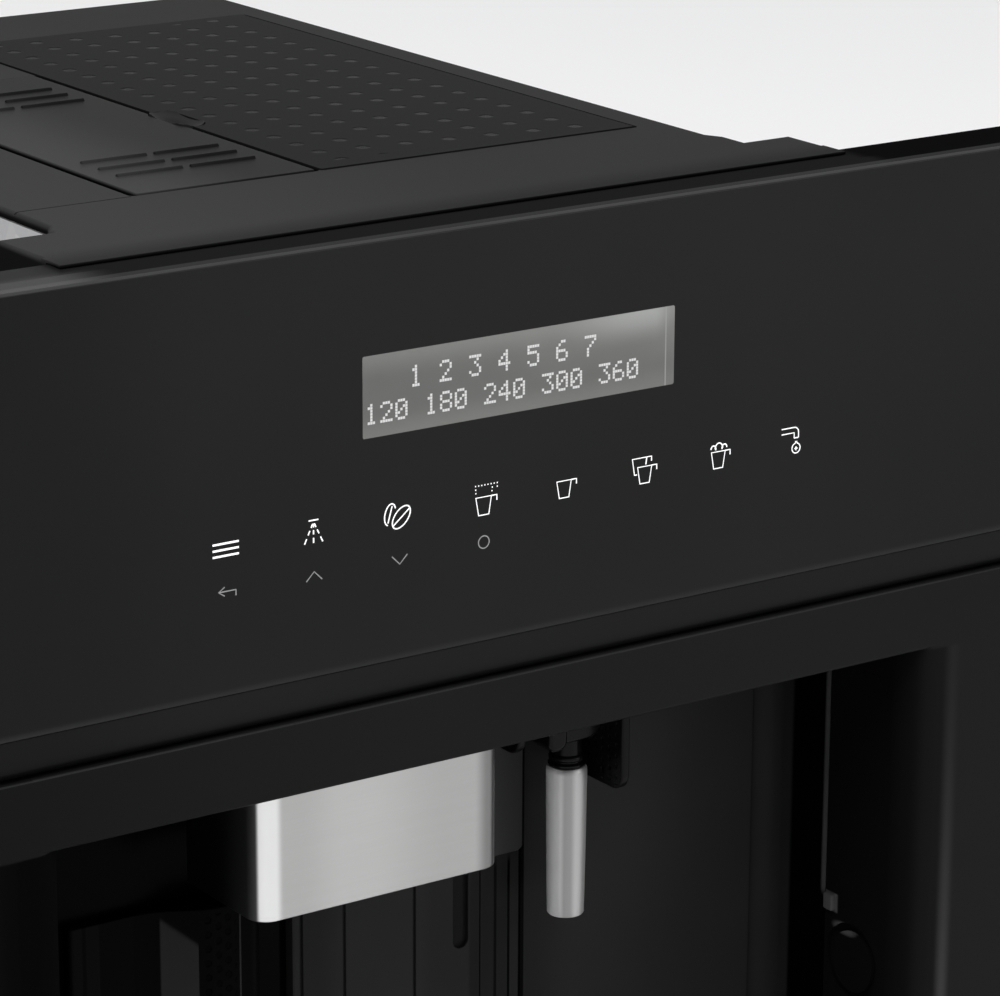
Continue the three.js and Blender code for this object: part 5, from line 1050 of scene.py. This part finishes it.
def column_piece(side):
    """A column with a round inner front edge and three bays, open behind. side is 1 or -1."""
    r = 11
    plan = [(NICHE_HALF, 43.5)] + arc(NICHE_HALF + r, r, r, r, 180, 270, 14)
    plan += arc(HALF - 1.0, 1.0, 1.0, 1.0, 270, 360, 4)
    plan += [(HALF, 33), (NICHE_HALF + 2.5, 33), (NICHE_HALF + 2.5, 43.5)]
    bay = box_outline(NICHE_HALF + 14, 2.6, HALF - 2.5, 34, (1, 1, 0, 0), 3)
    plan, bay = ([(x * side, y) for x, y in outline] for outline in (plan, bay))
    piece = slab("column", plan, 3, 309.4)
    bay_height, bay_pitch = 99.8, 102.3
    for i in range(3):
        carve(piece, slab("bay_tool", bay, 5.5 + i * bay_pitch, bay_height))
    return ease(piece, 0.3, 2, 60)


def front_surround():
    """Two columns and the beam over the niche, with a ring groove and a lug on the right column."""
    right = column_piece(1)
    groove = [(11, 0), (11, 2.4), (14, 2.4), (14, 0)]
    carve(right, spun("ring_tool", groove, (NICHE_HALF - 0.6, RING_DEPTH, RING_HEIGHT), (1, 0, 0)))
    left = column_piece(-1)
    section = [(0, CHIN_BASE)] + arc(1.6, BEAM_BASE + 1.6, 1.6, 1.6, 180, 270, 6)
    section += [(3.3, BEAM_BASE), (3.3, 310), (33, 310), (33, CHIN_BASE)]
    beam = ease(bar("beam", section, -172, 344), 0.25, 2, 60)
    lug = block("lug", NICHE_HALF - 2, NICHE_HALF + 1, LUG_FRONT, LUG_BACK, LUG_LOW, LUG_TOP)
    ease(lug, 0.8, 3)
    piece = fuse("front_surround", right, left, beam, lug)
    place_piece(piece, "front_black", "appliance", "gloss_black", "front_frame", smooth=40)


def water_hole(depth):
    """A tool that opens the way for the hot water, from that depth on."""
    return rod("water_tool", 4, 8, (TUBE_X, depth, 272), (0, 1, 0), 24)


def niche_shell():
    """Side walls, rounded rear corners and ceiling of the niche."""
    wall = 2.5
    half, front, back, ceiling = NICHE_HALF + wall, 43.8, 80.2, 309
    inner = box_outline(-NICHE_HALF, front, NICHE_HALF, back - wall, (0, 0, 9, 9), 12)
    outer = box_outline(-half, front, half, back, (0, 0, 11.5, 11.5), 12)
    plan = [inner[0], outer[0], *reversed(outer[1:]), *inner[1:]]
    walls = slab("niche_walls", plan, NICHE_BASE, ceiling - NICHE_BASE)
    carve(walls, block("door_tool", DOOR_LEFT + 5, DOOR_RIGHT - 6, 76, 82, 106, 224), water_hole(75))
    plan = box_outline(-half, front, half, back, (0, 0, 11.5, 11.5), 6)
    cap = slab("niche_ceiling", plan, ceiling, wall)
    carve(cap, block("slot_tool", -55.1, -29.9, 61.4, 73.3, 308, 313))
    piece = fuse("niche_shell", walls, cap)
    place_piece(piece, "wall_black", "appliance", "satin_black", "niche_liner", smooth=40)


def back_plates():
    """Smooth back plate on the right, and the grooved guide of the spout beside it."""
    outline = box_outline(52.5, NICHE_BASE, 151.7, NICHE_TOP, 1.5, 4)
    plate = pane("niche_back_plate", outline, 75, 2.4)
    carve(plate, water_hole(72))
    ease(plate, 0.5, 3)
    place_piece(plate, "plate_gloss", "appliance", "satin_black", "niche_back_panel")

    right, before = 51.5, GUIDE_FRONT - 1
    guide = block("spout_guide_plate", -55, right, GUIDE_FRONT, PLATE_BACK, NICHE_BASE, NICHE_TOP)
    rib = pane("rib", box_outline(RIB_LEFT, RIB_BASE, right, NICHE_TOP, (3, 3, 0, 0), 6), 71.5, 2.5)
    slot = box_outline(-45, 176, -40, 310, (2.5, 2.5, 0, 0), 6)
    groove = box_outline(GROOVE_LEFT, 188, GROOVE_RIGHT, 310, (3.1, 3.1, 0, 0), 6)
    tools = [pane("tool", slot, before, 7), pane("tool", groove, before, 2.6)]
    lines = [(x - 0.6, 1.2, 74.2) for x in LINES] + [(RIB_LEFT - 0.1, 0.4, 74.0), (right - 1.1, 1.2, 74.0)]
    tools += [block("tool", x, x + width, before, floor, 100, 310) for x, width, floor in lines]
    carve(guide, *tools)
    ease(guide, 0.35, 2, 50)
    ease(rib, 0.6, 3, 50)
    piece = fuse("spout_guide_plate", guide, rib)
    place_piece(piece, "guide_gloss", "appliance", "satin_black", "spout_guide")


def dress_grip(piece):
    """Gives the swollen side of the door the dimpled finish."""
    piece.data.materials.append(MATERIAL["grip_black"])
    hold(piece)
    piece.active_material_index = 1

    def on_grip(face):
        spot = face.calc_center_median() / MM
        return spot.x > -79 and spot.y < FACE + GUIDE_FRONT - 0.5

    editing(piece, "faces", on_grip, bpy.ops.object.material_slot_assign)


def service_flap():
    """Door before the infuser, round at its hinge; its free side swells into a dimpled grip."""
    front, out, free, r = GUIDE_FRONT, 63, DOOR_RIGHT, 2.2
    plan = arc(DOOR_LEFT + r, front + r, r, r, 90, 270, 10) + [(free, front), (free, PLATE_BACK)]
    leaf = slab("service_flap", plan, 103, 126)
    swell = [(free - 44, 76), (free - 44, front)]
    ends = (free - 44, front), (free - 32, front), (free - 26, out + 1), (free - 16, out + 0.6)
    a, b, c, d = (Vector(end) for end in ends)
    for i in range(1, 15):
        t = i / 14
        swell.append(tuple(a * (1 - t) ** 3 + b * 3 * t * (1 - t) ** 2 + c * 3 * t * t * (1 - t) + d * t**3))
    swell += arc(free - 6, out + 6, 6, 6, -90, 0, 10) + [(free, 76)]
    grip = slab("grip", swell, 151, 78)
    hollow = [(free - 30, 78.4), (free - 30, 74.6), (free - 16, 66), (free - 7, 66), (free - 3, 78.4)]
    for body in (leaf, grip):
        carve(body, slab("tool", hollow, 154, 71))
    ease(leaf, 0.5, 3, 45)
    ease(grip, 1.0, 3, 45)
    piece = fuse("service_flap", leaf, grip)
    place_piece(piece, "door_black", "service_door", "satin_black", "service_door", smooth=35)
    dress_grip(piece)


# ---------------- coffee spout


def cover_plan(inset, back, radius, steps=10):
    """Outline of the spout's cover in plan, set in by that much on its front and sides."""
    left, front, right = COVER_LEFT + inset, COVER_FRONT + inset, COVER_RIGHT - inset
    return box_outline(left, front, right, back, (radius, radius, 0, 0), steps)


def spout_cover():
    """Sheet steel cover with round corners; its lower rim is rolled inwards."""
    piece = slab("spout_cover", cover_plan(0, 60, 7), 242, 64)
    drop_faces(piece, lambda f: abs(f.normal.z) > 0.9 or f.normal.y > 0.9)
    modify(piece, "SOLIDIFY", thickness=1.2 * MM, offset=-1, use_even_offset=True)
    tidy(piece)
    ease(piece, 0.55, 4, 50)
    roll = slab("rim", cover_plan(1.1, 60, 6), 242.1, 2.4)
    carve(roll, slab("tool", cover_plan(3.8, 61, 4), 241, 5))
    ease(roll, 0.9, 4, 50)
    piece = fuse("spout_cover", piece, roll)
    place_piece(piece, "steel_front", "spout", "brushed_steel", "spout_shell", smooth=40)


def spout_core():
    """Moulded body inside the cover: rounded underside with the two outlets."""
    body = slab("spout_core", cover_plan(1.5, 61.7, 6, 8), 244.2, 60.8)
    carve(body, slab("tool", box_outline(-78, 25, -7, 54.7, 4, 4), 256, 60))
    ease(body, 1.0, 3, 50)
    under = slab("spout_under", box_outline(-81, 22, -4, 56, 5, 6), 242, 6)
    ease(under, 1.2, 3, 50)
    outlet = [(2.6, 12), (2.6, 0.3), (3.2, 0), (4.0, 0), (4.4, 0.5), (5.3, 2.4), (6.5, 12)]
    outlets = [spun("outlet", outlet, (x, 39, 237), steps=32) for x in (-55.5, -29.5)]
    piece = fuse("spout_core", body, under, *outlets)
    place_piece(piece, "dark_grey", "spout", "dark_grey", "spout_body", smooth=40)


# ---------------- hot water spout


def hot_water():
    """Steel tube with a rolled foot, its holder with a ringed collar, and the two squeeze paddles."""
    axis = (TUBE_X, TUBE_DEPTH, 0)
    pipe = [(5.4, 200.2), (5.9, 199.6), (6.3, 200.1), (6.45, 207), (7.0, 250.6), (6.9, 251.9), (6.2, 252.8)]
    pipe += [(3.0, 252.8), (3.0, 251.9), (5.7, 251.2), (5.4, 200.2)]
    tube = spun("hot_water_pipe", pipe, axis, steps=64)
    place_piece(tube, "steel_tube", "hot_water_spout", "polished_steel", "hot_water_tube", smooth=40)

    left, low, high = 43.05, 262.8, 282
    mount = pane("holder", box_outline(left, low, 69.35, high, (4, 7, 3, 3), 8), 50, 19)
    ease(mount, 1.4, 4, 50)
    nose = pane("nose", box_outline(left, low, left + 8, high, (3.6, 3.6, 3, 3), 8), 45, 12)
    ease(nose, 1.8, 5, 50)
    ears = block("ears", 39.7, TUBE_X + 14, 60, 63, 276, 280)
    ease(ears, 0.5, 2)
    collar = [(0.01, 253.1), (5.9, 253.1), (6.4, 253.5), (6.4, 254.1), (5.9, 254.5), (5.5, 254.8)]
    collar += [(5.5, 255.1), (5.8, 255.4), (6.2, 255.9), (6.2, 256.6), (5.8, 257.1), (5.3, 257.5)]
    collar += [(5.2, 263.5), (0.01, 263.5)]
    rings = spun("collar", collar, axis, steps=56)
    piece = fuse("hot_water_mount", mount, nose, ears, rings)
    place_piece(piece, "holder_black", "hot_water_spout", "satin_black", "hot_water_holder", smooth=40)

    blades = {"right": (69.95, 41, 66, 245), "left": (38.95, 57, 70, 259)}
    for word, (face, front, back, toe) in blades.items():
        outline = box_outline(front, toe, back, 274.7, (6, 3, 1.5, 4), 8)
        paddle = bar("squeeze_paddle_" + word, outline, face, 3.5)
        ease(paddle, 0.9, 4, 50)
        place_piece(paddle, "paddle_black", "paddle_" + word, "satin_black", "hot_water_paddle_" + word)


# ---------------- top


def top_shell():
    """Top cover: wide flange in front, stepped corners, recesses for the lids and a dish between them."""
    right = [(145.5, 33.3), (145.5, 55), (127, 55), (127, 66), (124, 72), (124, 397.5)]
    left = [(-124, 397.5), (-124, 72), (-127, 66), (-127, 64), (-145.5, 64), (-145.5, 33.3)]
    piece = slab("top_shell", right + left, 442, TOP - 442)
    round_edges(piece, lambda edge: all(v.co.z / MM > TOP - 0.1 for v in edge.verts), 1.6)
    carve(piece, block("tool", -123.4, 123.4, 36, 394.6, 441, 455.4))
    for recess in ((-14, 93.5, 112.2, 350.5), (-83.1, 93.5, -13.5, 284.5)):
        carve(piece, slab("tool", box_outline(*recess, 2, 5), 453.6, 6))
    carve(piece, block("tool", -126, -83, 93.1, 93.8, 457.2, 460))

    grinder = (85, 118)  # place of the grind setting knob
    deck = slab("deck", box_outline(-86.6, 90, 119, 354, 3, 4), 450.2, 3.2)
    hopper = block("tool", -5.3, 107.3, 139.7, 254.3, 440, 460)
    funnel = block("tool", -72.3, -25.7, 103.7, 198.3, 440, 460)
    carve(deck, hopper, funnel, rod("tool", 13, 20, (*grinder, 440), (0, 0, 1), 32))
    section = [(13, 17), (13, 0), (3.6, 0), (3.6, -2), (15, -2), (15, 17), (13, 17)]
    cup = spun("cup", section, (*grinder, 434), steps=40)

    dish = slab("dish", box_outline(-16.2, 175.3, -6.3, 202.7, 4.9, 10), 451, 7.8)
    middle = Vector((-11.25, 189 + FACE, 459.6)) * MM
    scoop = start("tool", "uv_sphere", segments=48, ring_count=24, radius=1, location=middle)
    scoop.scale = Vector((6.3, 15.6, 2.9)) * MM
    carve(dish, settle(scoop))
    lip = block("lip", -145.5, 145.5, 24.6, 36.5, 457.05, 457.99)
    ease(lip, 0.35, 3)
    piece = fuse("top_shell", piece, deck, cup, dish, lip)
    place_piece(piece, "cover_black", "appliance", "satin_black", "top_cover", smooth=40)


def lid_plate(name, box):
    """A thin plate with eased edges and a notch where the dish between the lids is."""
    plate = slab(name, box_outline(*box, 1, 4), 454, 4.3)
    carve(plate, slab("tool", box_outline(-16.5, 175, -6, 203, 5.2, 10), 440, 22))
    return ease(plate, 0.5, 4, 50)


def lids():
    """The bean lid with the skirt under it, and the ground coffee lid with its grip lines."""
    bean = lid_plate("bean_lid_plate", BEAN_LID)
    ring = slab("skirt", box_outline(-2, 143, 104, 251, 5, 5), 449, 5.5)
    carve(ring, slab("tool", box_outline(0, 145, 102, 249, 4, 5), 448, 8))
    bean = fuse("bean_lid_plate", bean, ring)
    place_piece(bean, "dimpled_lid", "bean_lid", "satin_black", "bean_lid", smooth=40)

    ground = lid_plate("ground_lid_plate", GROUND_LID)
    section = [(119.2, 458.1), (121.8, 458.1), (120.9, 459.1), (120.1, 459.1)]
    first = bar("grip_line", section, -73, 24)
    ease(first, 0.3, 2, 40)
    shifts = [(x, y, 0) for x in (0, 27) for y in (0, 11.6, 23.2, 113.8, 125.4, 137)][1:]
    ground = fuse("ground_lid_plate", ground, first, *[copied(first, "grip_line", shift) for shift in shifts])
    place_piece(ground, "lid_black", "ground_coffee_lid", "satin_black", "ground_coffee_lid", smooth=40)


# ---------------- fasteners


def screw(name, spot, facing):
    """Pan head screw with a cross recess, head towards facing."""
    head = [(0.01, 0), (3.6, 0), (3.6, 0.5), (3.2, 1.3), (2.2, 1.9), (0.01, 2.1)]
    piece = spun(name, head, spot, facing, 20)
    middle = Vector(spot) + Vector(facing) * 1.9
    axis = next(i for i in range(3) if facing[i])
    for thin in range(3):
        if thin == axis:
            continue
        half = [1.9, 1.9, 1.9]
        half[thin] = 0.4
        half[axis] = 1.0
        carve(piece, block("tool", *[c for m, h in zip(middle, half) for c in (m - h, m + h)]))
    return piece


def screws():
    """Screws of the sheet metal: one for each direction, then copies of it."""
    rear = [(x, z) for x in (-117, 117) for z in (40, 235, 425)] + [(0, 425), (0, 40)]
    side = [(y, z) for y in (92, 385) for z in (60, 180)] + [(y, 430) for y in (60, 220, 385)]
    sets = {
        "rear": ((0, 1, 0), upright(rear, 397.6)),
        "right": ((1, 0, 0), sideways(side, 125.1)),
        "left": ((-1, 0, 0), sideways(side, -125.1)),
    }
    for word, (facing, spots) in sets.items():
        first = screw("screws_" + word, spots[0], facing)
        copies = [copied(first, "screw", Vector(spot) - Vector(spots[0])) for spot in spots[1:]]
        piece = fuse("screws_" + word, first, *copies)
        place_piece(piece, "steel_burr", "appliance", "polished_steel")


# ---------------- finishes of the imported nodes


def dress_nodes():
    """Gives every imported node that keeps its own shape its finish."""
    looks = {
        "satin_black": "spout_carriage inner_frame mains_inlet switch_frame tank_lid",
        "gloss_black": "drip_tray switch_rocker",
        "dark_grey": "hot_water_connector grounds_container grinder_housing coffee_funnel infuser tank_seat",
        "light_grey": "grind_knob infuser_piston brew_drive",
        "hose_rubber": "water_hose",
        "steel_grid": "cup_grid",
        "steel_burr": "upper_burr lower_burr",
        "zinc_sheet": "chassis front_bracket_right front_bracket_left runner_inner_right runner_inner_left "
        "runner_middle_right runner_middle_left runner_outer_right runner_outer_left runner_brace "
        "side_panel_right side_panel_left rear_panel grinder_motor pump",
        "cast_aluminium": "thermoblock",
        "signal_red": "tray_float",
        "board_green": "touch_board power_board",
        "smoked_clear": "bean_hopper water_tank",
        "display_grey": "display_module",
    }
    for finish, names in looks.items():
        for name in names.split():
            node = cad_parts[name]
            node.data.materials.clear()
            node.data.materials.append(MATERIAL[finish])


# ---------------- studio


def lamp(name, spot, aim, size, power):
    """A rectangular lamp at a spot in metres, turned to its aim."""
    light = bpy.data.lights.new(name, "AREA")
    light.shape = "RECTANGLE"
    light.size, light.size_y = size
    light.energy = power
    made = bpy.data.objects.new(name, light)
    scene.collection.objects.link(made)
    made.location = spot
    made.rotation_euler = (Vector(aim) - Vector(spot)).to_track_quat("-Z", "Y").to_euler()


def pale_floor():
    """A pale floor, a little brighter for the rays that see the backdrop."""
    floor = start("floor", "plane", size=40, location=(0, 0, -0.0005))
    pale = Finish("pale_floor", 0.8, 0.6, Specular_IOR_Level=0.2, Emission_Color=0.8)
    camera, glossy, through = pale.backdrop_rays()
    pale.set(
        Emission_Strength=(camera + glossy + through) * 0.22,
        Base_Color=pale.blend(pale.noise(900), 0.79, 0.83),
    )
    floor.data.materials.append(pale.material)


def sky():
    """An even backdrop for the rays that see it, and a sky that is brighter above for the others."""
    world = bpy.data.worlds.new("studio")
    scene.world = world
    world.use_nodes = True
    graph = Graph(world.node_tree)
    up = graph.parts(graph.node("TexCoord", out="Generated"))[2]
    ramp = graph.node("ValToRGB", None, {0: up})
    low, high = ramp.socket.node.color_ramp.elements
    low.position, low.color = 0.05, (0.16, 0.16, 0.165, 1)
    high.position, high.color = 0.85, (0.85, 0.85, 0.86, 1)
    camera, glossy, through = graph.backdrop_rays()
    seen = camera.math("MAXIMUM", glossy).math("MAXIMUM", through)
    background = graph.tree.nodes["Background"]
    graph.join(background.inputs["Color"], graph.blend(seen, ramp, (0.82, 0.82, 0.825)))


def studio():
    """Floor, lamps, sky and the camera of the photo."""
    pale_floor()
    lamp("key", (-1.1, -0.9, 2.3), (0, 0, 0.3), (1.4, 1.0), 28)
    lamp("fill", (1.8, -2.2, 1.6), (0, 0, 0.25), (1.2, 1.6), 14)
    lamp("back", (0.4, 1.6, 2.6), (0, 0, 0.4), (2.0, 0.8), 10)
    sky()

    lens = bpy.data.cameras.new("camera")
    lens.sensor_width = 36.0
    lens.lens = 149.3
    lens.clip_start = 0.05
    camera = bpy.data.objects.new("camera", lens)
    scene.collection.objects.link(camera)
    camera.location = (-0.7003, -1.2144, 0.7381)
    camera.rotation_euler = [math.radians(a) for a in (73.3098, -0.2395, -34.3982)]
    scene.camera = camera
    scene.view_settings.view_transform = "Standard"


studio()
dress_nodes()
control_glass()
panel_carrier()
rear_cover()
display()
symbols()
front_surround()
niche_shell()
back_plates()
service_flap()
spout_cover()
spout_core()
hot_water()
top_shell()
lids()
screws()
